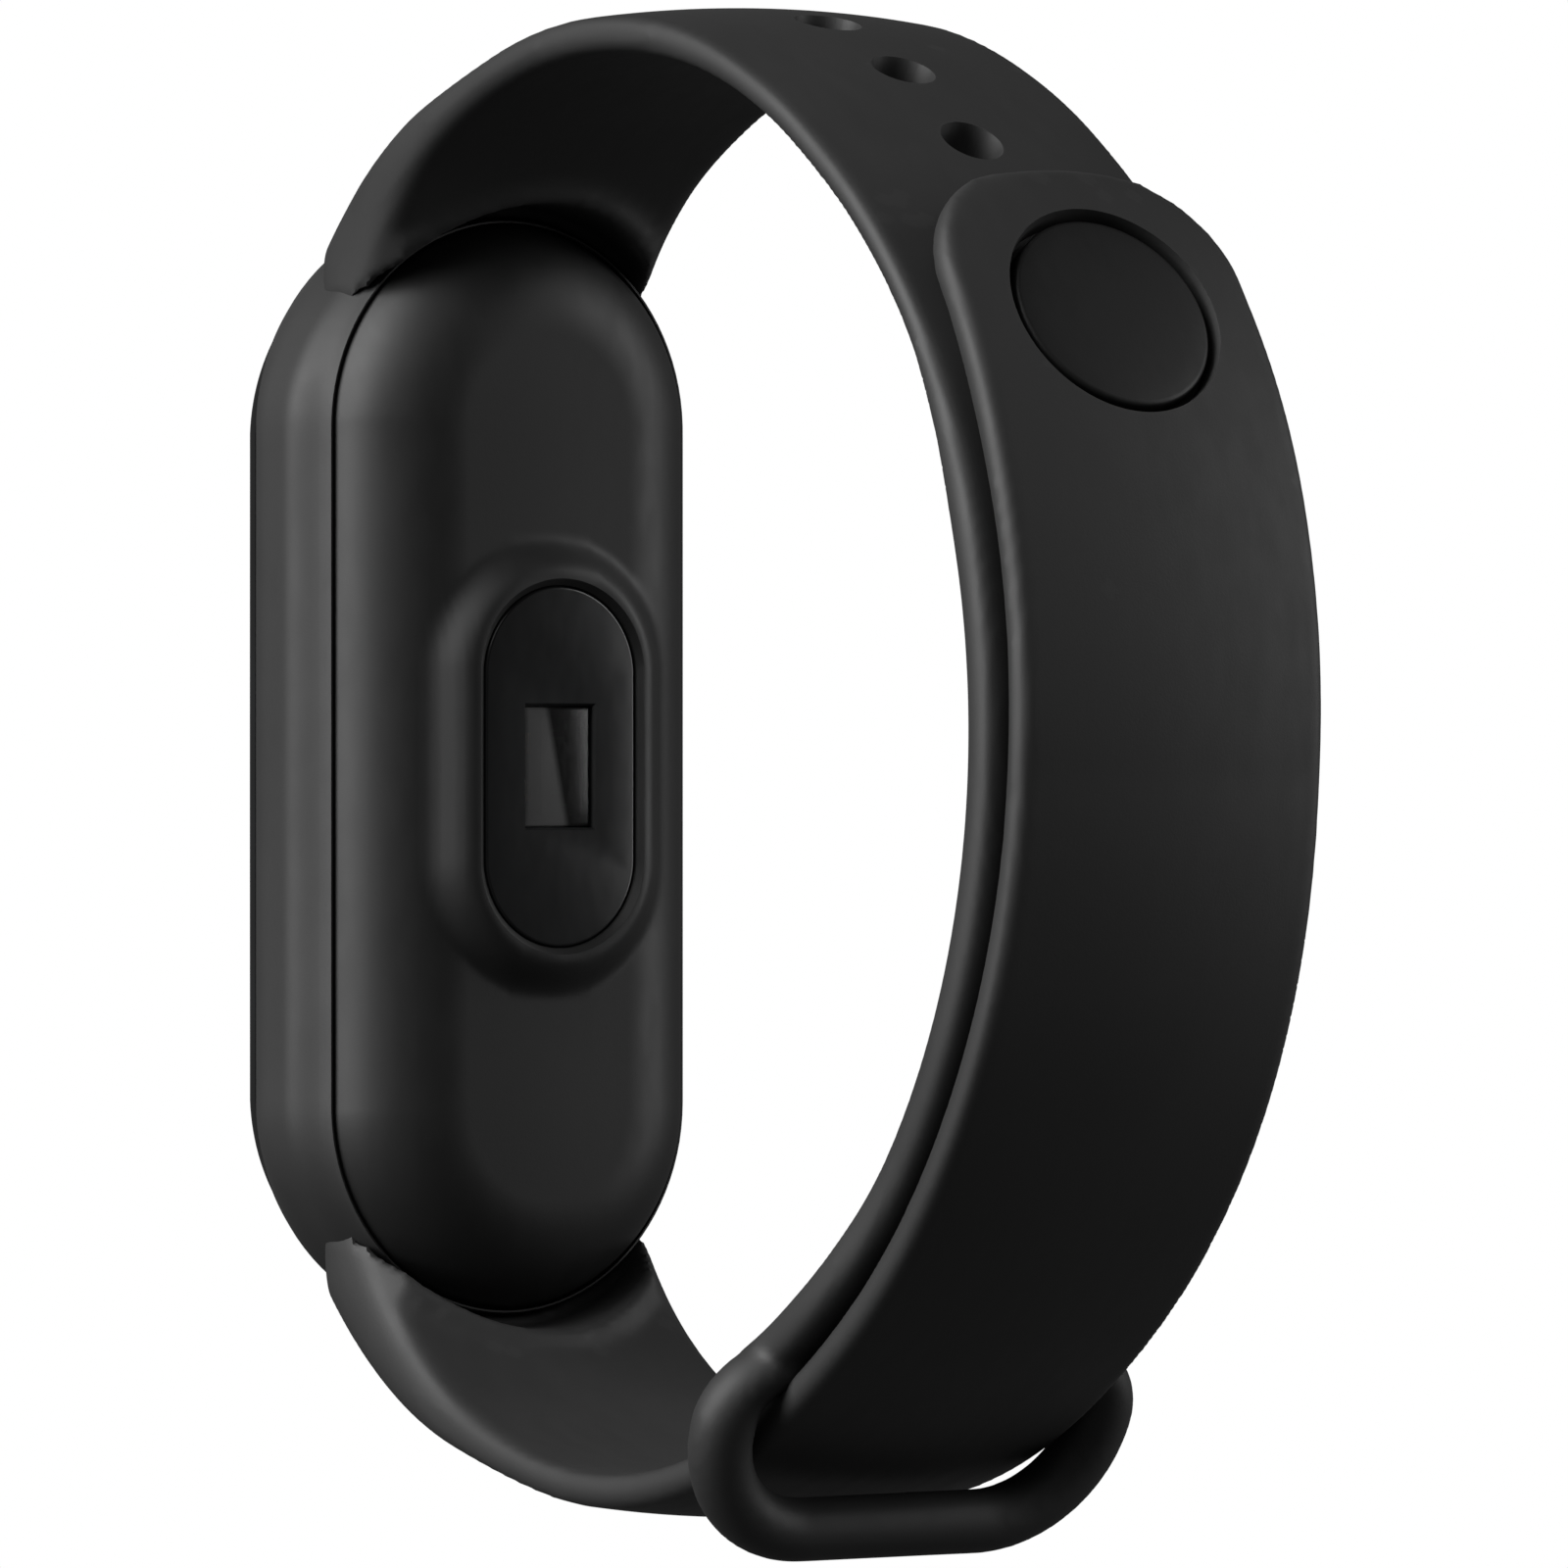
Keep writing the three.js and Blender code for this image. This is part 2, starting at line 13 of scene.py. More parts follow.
import bmesh
import bpy
import numpy as np
from mathutils import Matrix, Vector
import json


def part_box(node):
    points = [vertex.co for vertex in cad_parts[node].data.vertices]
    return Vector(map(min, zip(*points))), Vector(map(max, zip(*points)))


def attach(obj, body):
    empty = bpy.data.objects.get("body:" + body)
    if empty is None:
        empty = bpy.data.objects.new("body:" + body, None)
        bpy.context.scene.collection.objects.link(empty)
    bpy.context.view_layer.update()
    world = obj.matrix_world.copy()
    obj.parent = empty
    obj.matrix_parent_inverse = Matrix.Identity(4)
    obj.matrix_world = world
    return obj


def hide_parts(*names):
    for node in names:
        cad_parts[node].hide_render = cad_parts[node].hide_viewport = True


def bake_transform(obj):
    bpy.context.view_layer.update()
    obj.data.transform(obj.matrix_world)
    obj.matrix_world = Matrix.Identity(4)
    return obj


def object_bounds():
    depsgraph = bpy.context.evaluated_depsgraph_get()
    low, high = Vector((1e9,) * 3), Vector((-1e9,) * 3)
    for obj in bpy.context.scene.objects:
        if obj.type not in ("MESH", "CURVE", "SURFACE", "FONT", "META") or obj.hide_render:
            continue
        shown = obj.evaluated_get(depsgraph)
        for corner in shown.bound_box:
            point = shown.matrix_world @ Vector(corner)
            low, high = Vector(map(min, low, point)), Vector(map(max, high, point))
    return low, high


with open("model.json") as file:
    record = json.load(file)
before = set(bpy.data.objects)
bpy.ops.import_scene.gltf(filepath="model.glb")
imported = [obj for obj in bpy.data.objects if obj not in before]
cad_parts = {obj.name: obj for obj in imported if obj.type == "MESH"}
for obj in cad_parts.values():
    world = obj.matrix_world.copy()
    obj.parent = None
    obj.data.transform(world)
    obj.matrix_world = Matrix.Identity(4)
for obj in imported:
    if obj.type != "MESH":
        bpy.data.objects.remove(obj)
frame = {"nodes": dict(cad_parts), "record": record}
cad_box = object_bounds()
MM = 0.001


def box_mm(node):
    """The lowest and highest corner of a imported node, in millimetres."""
    low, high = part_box(node)
    return low / MM, high / MM


# %% [markdown]
# ## Camera, backdrop and light
#
# The band is seen level, from the wrist side of the tracker: the camera stands a quarter turn and more round from the
# tracker's edge. A long lens far away keeps the loop's near and far edges almost the same size, as in a catalogue
# picture.

# %% Camera
camera_azimuth = math.radians(56.5)      # 0 looks along +Y
camera_distance = 0.750
focal_length = 412.8                     # on a 36 mm sensor
aim_left = 0.00197                       # how far the camera stands left of the origin
aim_down = 0.00074

camera_back = Vector((math.sin(camera_azimuth), -math.cos(camera_azimuth), 0))
camera_right = Vector((math.cos(camera_azimuth), math.sin(camera_azimuth), 0))
camera_place = camera_back * camera_distance - camera_right * aim_left - Vector((0, 0, aim_down))
bpy.ops.object.select_all(action="DESELECT")
bpy.ops.object.camera_add(location=camera_place, rotation=(math.pi / 2, 0, camera_azimuth))
camera = bpy.context.active_object
camera.name = "camera"
camera.data.lens = focal_length
camera.data.sensor_width = 36
camera.data.clip_start = 0.01
bpy.context.scene.camera = camera
bpy.context.scene.view_settings.view_transform = "Standard"
print("camera at", [round(c, 4) for c in camera_place])

# %% [markdown]
# The floor and the surroundings are plain white to the camera only. A dark object on a real white floor would be lit
# from below and lose its depth, so the white is taken away from every ray that lights the band.

# %% Backdrop and floor
surround_strength = 0.08
floor_size = 4
floor_gap = 0.0004                       # under the lowest point of the band
world = bpy.data.worlds.new("studio")
bpy.context.scene.world = world
world.use_nodes = True
air = world.node_tree
air.nodes.clear()
to_camera = air.nodes.new("ShaderNodeLightPath")
white = air.nodes.new("ShaderNodeBackground")
dim = air.nodes.new("ShaderNodeBackground")
choose = air.nodes.new("ShaderNodeMixShader")
sky_out = air.nodes.new("ShaderNodeOutputWorld")
white.inputs["Color"].default_value = (1, 1, 1, 1)
dim.inputs["Color"].default_value = (1, 1, 1, 1)
dim.inputs["Strength"].default_value = surround_strength
air.links.new(to_camera.outputs["Is Camera Ray"], choose.inputs["Fac"])
air.links.new(dim.outputs["Background"], choose.inputs[1])
air.links.new(white.outputs["Background"], choose.inputs[2])
air.links.new(choose.outputs["Shader"], sky_out.inputs["Surface"])

floor_level = cad_box[0][2] - floor_gap
bpy.ops.object.select_all(action="DESELECT")
bpy.ops.mesh.primitive_plane_add(size=floor_size, location=(0, 0, floor_level))
floor = bpy.context.active_object
floor.name = "floor"
floor.visible_diffuse = floor.visible_glossy = floor.visible_transmission = floor.visible_shadow = False
paper = bpy.data.materials.new("white_paper")
paper.use_nodes = True
paper_shader = paper.node_tree.nodes["Principled BSDF"]
paper_shader.inputs["Base Color"].default_value = (0, 0, 0, 1)
paper_shader.inputs["Specular IOR Level"].default_value = 0
paper_shader.inputs["Emission Color"].default_value = (1, 1, 1, 1)
paper_shader.inputs["Emission Strength"].default_value = 1
floor.data.materials.append(paper)
print("floor at", round(floor_level, 4))

# %% [markdown]
# Black rubber shows only what it reflects, so the lights draw the shape. A tall soft light on the left lights the
# long near edges, a weaker one on the right gives the outer face of the tail its grey, and a faint one above the
# camera keeps the faces that look this way from going flat.


# %% Lights
def soft_light(name, toward, distance, width, height, power):
    """A rectangular light that stands in a direction from the band and looks back at it."""
    bpy.ops.object.select_all(action="DESELECT")
    bpy.ops.object.light_add(type="AREA", location=Vector(toward).normalized() * distance)
    light = bpy.context.active_object
    light.name = name
    light.rotation_euler = Vector(toward).to_track_quat("Z", "Y").to_euler()
    light.data.shape = "RECTANGLE"
    light.data.size = width
    light.data.size_y = height
    light.data.energy = power
    return light


camera_left = -camera_right
up = Vector((0, 0, 1))
soft_light("left_light", camera_left + camera_back * 0.45 + up * 0.6, 0.6, 0.4, 0.7, 7.4)
soft_light("right_light", camera_right - camera_back * 0.1 + up * 0.25, 0.8, 0.4, 0.7, 2.7)
soft_light("front_light", camera_back + up * 0.8 + camera_left * 0.2, 0.9, 0.6, 0.4, 0.6)

# %% [markdown]
# ## Helpers for modelling by hand
#
# Each step of hand modelling is the same: start a primitive, go into edit mode, pick faces or edges, and run a tool.
# Picking is done by a test on place or normal, since there is no mouse here.


# %% Picking and finishing
def begin(name):
    """Names the primitive that was just added and applies its turn, so that its mesh holds its place."""
    piece = bpy.context.active_object
    piece.name = piece.data.name = name
    bpy.ops.object.transform_apply(location=True, rotation=True, scale=True)
    return piece


def clear_pick():
    """Nothing selected and object mode: the state every new primitive starts from."""
    if bpy.context.object and bpy.context.object.mode != "OBJECT":
        bpy.ops.object.mode_set(mode="OBJECT")
    bpy.ops.object.select_all(action="DESELECT")


def only(piece):
    """Makes a piece the only one selected, and active."""
    clear_pick()
    piece.select_set(True)
    bpy.context.view_layer.objects.active = piece


def pick(piece, kind, test):
    """Goes into edit mode with just the faces, edges or vertices that pass the test selected."""
    if piece.mode != "EDIT":
        only(piece)
        bpy.ops.object.mode_set(mode="EDIT")
    bpy.ops.mesh.select_mode(type=kind)
    bpy.ops.mesh.select_all(action="DESELECT")
    mesh = bmesh.from_edit_mesh(piece.data)
    items = {"FACE": mesh.faces, "EDGE": mesh.edges, "VERT": mesh.verts}[kind]
    for item in items:
        if test(item):
            item.select_set(True)
    mesh.select_flush_mode()
    bmesh.update_edit_mesh(piece.data)


def face_outward(piece):
    """Merges doubles, then turns every face outward."""
    only(piece)
    bpy.ops.object.mode_set(mode="EDIT")
    bpy.ops.mesh.select_all(action="SELECT")
    bpy.ops.mesh.remove_doubles(threshold=0.001)
    bpy.ops.mesh.normals_make_consistent(inside=False)
    bpy.ops.object.mode_set(mode="OBJECT")


def modify(piece, kind, **settings):
    """Adds a modifier, gives it its settings and applies it."""
    only(piece)
    modifier = piece.modifiers.new(kind.lower(), kind)
    for key, value in settings.items():
        setattr(modifier, key, value)
    bpy.ops.object.modifier_apply(modifier=modifier.name)


def combine(piece, other, operation):
    """Joins, cuts or crosses a piece with another one, and removes the other."""
    modify(piece, "BOOLEAN", object=other, operation=operation, solver="EXACT")
    bpy.data.objects.remove(other)
    return piece


def finish_piece(piece, finish, angle=30):
    """Smooth shading with crisp edges kept, size in metres, and the piece's finish."""
    only(piece)
    bpy.ops.object.shade_smooth_by_angle(angle=math.radians(angle))
    piece.data.transform(Matrix.Scale(MM, 4))
    piece.data.materials.clear()
    piece.data.materials.append(finish)
    triangles = sum(len(p.vertices) - 2 for p in piece.data.polygons)
    print(f"{piece.name}: {triangles} triangles")
    return piece

# %% [markdown]
# ## The strap's path
#
# Seen from the side, the strap is a few arcs. The upper arm climbs from the tracker, goes over the wrist in one wide
# arc and ends in the keeper. The outer layer starts at the tail's tip, lies on the upper arm, leaves the keeper in a
# free curve, and joins the tracker's lower end. A path here holds its length so far, X, Z and direction at many
# points, so that any place along it can be looked up.

# %% Paths
upper_start = (-24.67, 20.10)
upper_heading = 66.0
# each arc is its radius in millimetres and its turn in degrees
upper_arcs = ((13.5, 34.9), (25.4, 65.0), (57.6, 2.7), (28.0, 22.3), (28.1, 96.3))
lower_start = (-24.6, -20.3)
lower_heading = -62
lower_arcs = ((15, 38),)
root_overlap = 3.5
tip_distance = 43.4                      # along the upper arm
peg_distance = 50.2
keeper_distance = 91.5
outer_lift = 2.15                        # from the wrist side to the outer layer
tip_lift = 0.6                           # how far the tip stands off on its clasp
tip_reach = 24


def walk(start, heading_degrees, arcs, turn):
    """Walks the arcs from a start: turn 1 bends right, turn -1 bends left."""
    rows = []
    x, z = start
    heading = math.radians(heading_degrees)
    distance = 0
    for radius, degrees in arcs:
        sweep = math.radians(degrees)
        center_x = x + turn * radius * math.sin(heading)
        center_z = z - turn * radius * math.cos(heading)
        for step in np.linspace(0, sweep, int(degrees * 2)):
            now = heading - turn * step
            x = center_x - turn * radius * math.sin(now)
            z = center_z + turn * radius * math.cos(now)
            rows.append((distance + radius * step, x, z, now))
        heading -= turn * sweep
        distance += radius * sweep
    return np.array(rows)


def start_earlier(path, length):
    """The path with a straight run before its start, so that an arm's end lies hidden in the cradle."""
    _, x, z, heading = path[0]
    back = np.linspace(-length, 0, 8)[:-1]
    lean = 0.68 * heading                # the run dives below the cradle's edge
    rows = [(t, x + math.cos(lean) * t, z + math.sin(lean) * t, heading) for t in back]
    return np.vstack((rows, path))


def lift(path, height):
    """The same path moved outward, away from the wrist, by one height or one for each point."""
    moved = path.copy()
    moved[:, 1] -= np.sin(path[:, 3]) * height
    moved[:, 2] += np.cos(path[:, 3]) * height
    return moved


def measure_again(path):
    """Fills in the length so far from the points themselves, and keeps the direction from jumping."""
    steps = np.hypot(np.diff(path[:, 1]), np.diff(path[:, 2]))
    path[:, 0] = np.concatenate(([0], np.cumsum(steps)))
    path[:, 3] = np.unwrap(path[:, 3])
    return path


upper_path = start_earlier(walk(upper_start, upper_heading, upper_arcs, 1), root_overlap)
upper_length = upper_path[-1, 0]


def free_curve(start, end, reach):
    """A smooth curve from one path's end to the start of another one."""
    along = lambda row: np.array([math.cos(row[3]), math.sin(row[3])])
    a, d = start[1:3], end[1:3]
    b, c = a + along(start) * reach[0], d - along(end) * reach[1]
    rows = []
    for t in np.linspace(0, 1, 160)[1:-1]:
        point = (1 - t) ** 3 * a + 3 * (1 - t) ** 2 * t * b + 3 * (1 - t) * t**2 * c + t**3 * d
        slope = (1 - t) ** 2 * (b - a) + 2 * (1 - t) * t * (c - b) + t**2 * (d - c)
        rows.append((0, *point, math.atan2(slope[1], slope[0])))
    return np.array(rows)


on_arm = (upper_path[:, 0] >= tip_distance) & (upper_path[:, 0] <= keeper_distance)
over_arm = upper_path[on_arm]
stand_off = tip_lift * np.clip(1 - (over_arm[:, 0] - tip_distance) / tip_reach, 0, 1) ** 0.8
over_arm = lift(over_arm, outer_lift + stand_off)
root = start_earlier(walk(lower_start, lower_heading, lower_arcs, -1), root_overlap)[::-1]
root[:, 3] += math.pi
gap_length = math.hypot(*(root[0, 1:3] - over_arm[-1, 1:3]))
free = free_curve(over_arm[-1], root[0], (0.37 * gap_length, 0.41 * gap_length))
outer_path = measure_again(np.vstack((over_arm, free, root)))
outer_length = outer_path[-1, 0] - root_overlap   # up to the cradle
print(f"upper arm {upper_length:.1f} mm, outer layer {outer_length:.1f} mm")

# %% [markdown]
# ## Bars bent on a former
#
# Moulded rubber keeps one kind of cross-section over a long curved way: a flat wrist side, a slightly crowned outer
# side and round edges. Blender's bend tool needs a window, and a Curve modifier can't change the width, thickness and
# edge rounding along the way. So each arm starts as a straight round bar, its sides are subdivided into short
# lengths, and then every ring of the bar is laid onto its place on the path in the shape of the section there.

# %% The strap's cross-section
face_steps = 16
edge_steps = 8
ring_points = 2 * (face_steps + edge_steps)


def smooth_step(value):
    """0 below 0, 1 above 1, and a soft turn in between."""
    value = min(max(value, 0), 1)
    return value * value * (3 - 2 * value)


def section_point(index, half_width, middle, edge, rounding):
    """Point number index of the section: its place across the strap and its height over the wrist side."""
    flat = half_width - rounding

    def crown(y):
        return edge + (middle - edge) * (1 - (y / half_width) ** 2)

    if index <= face_steps:
        y = flat * (2 * index / face_steps - 1)
        return y, crown(y)
    if index < face_steps + edge_steps:
        side, angle = 1, math.pi / 2 - math.pi * (index - face_steps) / edge_steps
    elif index <= 2 * face_steps + edge_steps:
        return flat * (1 - 2 * (index - face_steps - edge_steps) / face_steps), 0
    else:
        side, angle = -1, -math.pi / 2 + math.pi * (index - 2 * face_steps - edge_steps) / edge_steps
    squarer = 0.8
    height = crown(flat) / 2
    across = math.cos(angle) ** squarer * rounding
    rise = math.copysign(abs(math.sin(angle)) ** squarer, angle)
    return side * (flat + across), height * (1 + rise)


shell_low, shell_high = box_mm("rear_shell")
tracker_half_width = shell_high.y
tracker_half_length = shell_high.z
pocket_gap = 0.15
end_relief = 0.45
cradle_edge = -25.2                      # X of the cradle's edge on the wrist side
collar_height = 0.45                     # a soft rim on the wrist side, round the tracker's end
collar_width = 1.3
collar_fade = 0.6


def collar(y, z):
    """Height of the rim at a place seen from the wrist."""
    straight = tracker_half_length - tracker_half_width
    outside = math.hypot(y, max(abs(z) - straight, 0)) - tracker_half_width
    return collar_height * (1 - smooth_step((outside - collar_width) / collar_fade + 0.5))


def bar(name, length, cuts):
    """A straight bar along X with its sides cut into short lengths."""
    clear_pick()
    bpy.ops.mesh.primitive_cylinder_add(
        vertices=ring_points, radius=1, depth=length, location=(length / 2, 0, 0), rotation=(0, math.pi / 2, 0)
    )
    piece = begin(name)
    for _ in range(2):
        pick(piece, "EDGE", lambda e: abs(e.verts[0].co.x - e.verts[1].co.x) > 0.001)
        bpy.ops.mesh.subdivide(number_cuts=cuts)
    bpy.ops.object.mode_set(mode="OBJECT")
    return piece


def lay_on_path(piece, path, section_at, pace=1.0):
    """Moves each ring of the bar onto the path. A pace above 1 sets the first rings closer together."""
    first, length = path[0, 0], path[-1, 0] - path[0, 0]
    for vertex in piece.data.vertices:
        distance = first + length * min(max(vertex.co.x / length, 0), 1) ** pace
        angle = math.atan2(vertex.co.z, vertex.co.y)
        index = round(angle / (2 * math.pi) * ring_points) % ring_points
        y, height = section_point(index, *section_at(distance))
        x, z, heading = (np.interp(distance, path[:, 0], path[:, column]) for column in (1, 2, 3))
        if height == 0 and x < -10:
            height -= collar(y, z)
        vertex.co = (x - math.sin(heading) * height, y, z + math.cos(heading) * height)
    face_outward(piece)
    return piece


print(ring_points, "points round each section")

# %% [markdown]
# ## Loops of rubber
#
# The cradle that grips the tracker and the keeper loop are both closed rings with one section, round a rectangle
# with rounded corners. A torus is the same thing round a circle, so a torus is the start, and each of its rings is
# laid onto its place on the outline.


# %% A ring on an outline
def outline_point(share, half_width, low, high, corners):
    """A place on a rectangle with round corners, and the direction outward there. Share 0 to 1 goes once round.

    The four corner radii go round from the corner with the highest place both across and up.
    """
    spans = (high - low, 2 * half_width)
    sides = [spans[turn % 2] - corners[turn - 1] - corners[turn] for turn in range(4)]
    left = share * (sum(sides) + sum(corners) * math.pi / 2)
    for turn, (across, up_) in enumerate(((1, 1), (-1, 1), (-1, -1), (1, -1))):
        angle, radius = turn * math.pi / 2, corners[turn]
        center = Vector((across * (half_width - radius), (high + low) / 2 + up_ * ((high - low) / 2 - radius)))
        out = Vector((math.cos(angle), math.sin(angle)))
        if left <= sides[turn]:
            along = Vector((-out.y, out.x))
            place = center + out * radius - along * (sides[turn] - left)
            return place.x, place.y, out.x, out.y
        left -= sides[turn]
        if left <= radius * math.pi / 2:
            angle += left / radius
            out = Vector((math.cos(angle), math.sin(angle)))
            place = center + out * radius
            return place.x, place.y, out.x, out.y
        left -= radius * math.pi / 2
    return half_width, low + corners[3], 1, 0


def ring_on_outline(name, outline, rings, section, place):
    """A torus laid onto an outline. The section gives for each of its points how far out and how deep it is."""
    clear_pick()
    count = len(section(0))
    bpy.ops.mesh.primitive_torus_add(
        major_segments=rings, minor_segments=count, major_radius=10, minor_radius=1, location=(0, 0, 0)
    )
    piece = begin(name)
    for vertex in piece.data.vertices:
        share = (math.atan2(vertex.co.y, vertex.co.x) / (2 * math.pi)) % 1
        share = round(share * rings) % rings / rings
        minor = math.atan2(vertex.co.z, math.hypot(vertex.co.x, vertex.co.y) - 10)
        across, up_, out_y, out_z = outline_point(share, *outline)
        out, deep = section(share)[round(minor / (2 * math.pi) * count) % count]
        vertex.co = place(across + out_y * out, up_ + out_z * out, deep)
    face_outward(piece)
    return piece


print("rings are ready to be laid on outlines")

# %% [markdown]
# ## Upper arm with its keeper
#
# The arm is a crowned band, thickest where it leaves the cradle. At its far end it widens and flows into the keeper's
# posts. The two are made apart and joined, then remeshed in small cubes and smoothed: that rounds the inside corners
# where they meet, as a mould does. The pocket for the tracker's end goes in before that, so its rim comes out soft
# as well. The holes are cut afterwards, so that they stay round.

# %% Upper arm
belly_extra = 0.35                       # the arm is a little wider where it leaves the tracker
arm_half_width = 7.48
root_extra = 3.2
root_reach = 14
lower_root_reach = 17
edge_rounding = 0.85
middle_thickness = 2.0
edge_thickness = 1.45
keeper_extra = 0.45                      # and wider still where it meets the keeper
flatter = 0.45                           # hardly any crown where the tail lies on the arm
tail_extra = 0.58                        # the arm is wider where the tail lies on it


def root_share(from_cradle, reach):
    """How much of the extra thickness an arm has: all of it at the cradle, none at its hidden end."""
    hidden = min(max(1 + from_cradle / root_overlap, 0), 1)
    return min(max(1 - from_cradle / reach, 0), 1) ** 2 * hidden


def upper_section(distance):
    """Half width, thickness in the middle and at the edge, and edge rounding of the upper arm."""
    near_root = root_share(distance, root_reach)
    belly = smooth_step(distance / 10) - smooth_step((distance - 16) / 14)
    under_tail = smooth_step((distance - 47) / 12)
    toward_keeper = smooth_step((distance - 84) / 10)
    slimmer = 0.32 * (smooth_step((distance - 24) / 10) - under_tail)
    return (
        arm_half_width + belly_extra * belly + tail_extra * under_tail + keeper_extra * toward_keeper,
        middle_thickness - slimmer + root_extra * near_root,
        edge_thickness - slimmer + flatter * under_tail + root_extra * near_root,
        edge_rounding + 0.5 * near_root,
    )


bar_cuts = 13                            # applied twice
upper_arm = lay_on_path(bar("upper_arm", upper_length + root_overlap, bar_cuts), upper_path, upper_section)
print("upper arm:", len(upper_arm.data.vertices), "vertices")

# %% Keeper loop
keeper_center = (5.54, -28.3)            # X and Z
keeper_tilt = math.radians(-24.7)        # it leans with the tail that it holds
keeper_roll = math.radians(1.1)
post_radius = 1.36
bar_radius = 1.0
keeper_half_width = 9.36
keeper_outward = -3.55                   # the two bars' places in the keeper's own frame
keeper_inward = 4.3
keeper_corners = (2.8, 2.8, 5.0, 5.02)
minor_count = 20


def keeper_section(share):
    """A round section, thinner along the bar on the wrist side."""
    across, up_, _, out_up = outline_point(share, *keeper_outline)
    thin = smooth_step(out_up)
    radius = post_radius + (bar_radius - post_radius) * thin
    angles = (2 * math.pi * k / minor_count for k in range(minor_count))
    return [(radius * math.cos(a), post_radius * math.sin(a)) for a in angles]


def keeper_place(across, up_, deep):
    """From the keeper's own upright frame to its leaning place on the strap."""
    across, up_ = (
        across * math.cos(keeper_roll) - up_ * math.sin(keeper_roll),
        across * math.sin(keeper_roll) + up_ * math.cos(keeper_roll),
    )
    turned_x = deep * math.cos(keeper_tilt) - up_ * math.sin(keeper_tilt)
    turned_z = deep * math.sin(keeper_tilt) + up_ * math.cos(keeper_tilt)
    return keeper_center[0] + turned_x, across, keeper_center[1] + turned_z


keeper_outline = (keeper_half_width, keeper_outward, keeper_inward, keeper_corners)
keeper_rings = 120
keeper = ring_on_outline("keeper", keeper_outline, keeper_rings, keeper_section, keeper_place)
print("keeper:", len(keeper.data.vertices), "vertices")

# %% [markdown]
# ## Cutters
#
# The pocket in both arms and the openings in the tracker share one outline: two half circles with straight sides.
# A cylinder gives it: its upper half is moved up and its lower half down. Cutters are made the same way.


# %% Stadium blocks
def stadium_block(name, half_width, half_length, low_x, high_x, vertices=96):
    """A solid with a stadium outline, standing between two places on X."""
    clear_pick()
    bpy.ops.mesh.primitive_cylinder_add(
        vertices=vertices,
        radius=half_width,
        depth=high_x - low_x,
        location=((high_x + low_x) / 2, 0, 0),
        rotation=(0, math.pi / 2, 0),
    )
    piece = begin(name)
    straight = half_length - half_width
    for side in (1, -1):
        pick(piece, "VERT", lambda v: v.co.z * side > 0.0001)
        bpy.ops.transform.translate(value=(0, 0, side * straight))
    bpy.ops.object.mode_set(mode="OBJECT")
    return piece


def cut_pocket(piece):
    """Cuts the room for the tracker: a hair of air round it, and more past its ends on the wrist side."""
    half_width, half_length = tracker_half_width + pocket_gap, tracker_half_length + pocket_gap
    pocket = stadium_block("pocket", half_width, half_length, -40, -10, 128)
    combine(piece, pocket, "DIFFERENCE")
    relief = stadium_block("relief", half_width - end_relief, half_length + end_relief, cradle_edge, -10, 128)
    combine(piece, relief, "DIFFERENCE")


print("pocket half length:", round(tracker_half_length + pocket_gap, 2), "mm")


# %% Adjustment holes
hole_pitch = 5.65
holes_above_peg = 4
holes_below_peg = 6
cutter_low, cutter_high = -2, 5          # heights over the wrist side
hole_low_radius = 0.6                    # at those two heights, so that a hole is about 2 mm wide on the wrist
hole_radius = 2.1                        # side and about 3 mm wide on the outer side


def on_path(path, distance, height=0):
    """A matrix that puts a tool made along +Z upright on the path."""
    x, z, heading = (np.interp(distance, path[:, 0], path[:, column]) for column in (1, 2, 3))
    along = Vector((math.cos(heading), 0, math.sin(heading)))
    normal = Vector((-math.sin(heading), 0, math.cos(heading)))
    side = along.cross(normal)
    turn = Matrix((side, along, normal)).transposed().to_4x4()
    return Matrix.Translation((x + normal.x * height, 0, z + normal.z * height)) @ turn


def round_tool(name, radius, low, high, matrix, vertices=40, low_radius=None):
    """A round cutter between two heights over the path. It can be narrower at its low end."""
    clear_pick()
    bpy.ops.mesh.primitive_cone_add(
        vertices=vertices,
        radius1=low_radius or radius,
        radius2=radius,
        depth=high - low,
        location=(0, 0, (low + high) / 2),
    )
    piece = begin(name)
    piece.data.transform(matrix)
    return piece


hole_tools = []
for number in range(-holes_above_peg, holes_below_peg + 1):
    place = on_path(upper_path, peg_distance + number * hole_pitch)
    hole_tools.append(round_tool("hole", hole_radius, cutter_low, cutter_high, place, 48, hole_low_radius))
clear_pick()
for tool in hole_tools:
    tool.select_set(True)
bpy.context.view_layer.objects.active = hole_tools[0]
bpy.ops.object.join()
print(len(hole_tools), "holes")

# %% [markdown]
# The joined piece is remeshed in small cubes and smoothed. That rounds every inside corner at once.

# %% Soft joining
voxel = 0.26
mould_smoothing = 4


def mould(piece, smoothing):
    """Remeshes a piece in small cubes and smooths it, so that its inside corners and rims turn round."""
    modify(piece, "REMESH", mode="VOXEL", voxel_size=voxel, adaptivity=0)
    modify(piece, "SMOOTH", factor=0.5, iterations=smoothing)
    return piece


combine(upper_arm, keeper, "UNION")
cut_pocket(upper_arm)
mould(upper_arm, mould_smoothing)
combine(upper_arm, hole_tools[0], "DIFFERENCE")
print("upper arm after moulding:", len(upper_arm.data.polygons), "faces")

# %% [markdown]
# ## Cradle ring
#
# The cradle is a thin wall round the tracker, flush with it on the wrist side and swelling to its full thickness
# toward the display. Its edge on the wrist side has to stay crisp beside the tracker, so it isn't remeshed.

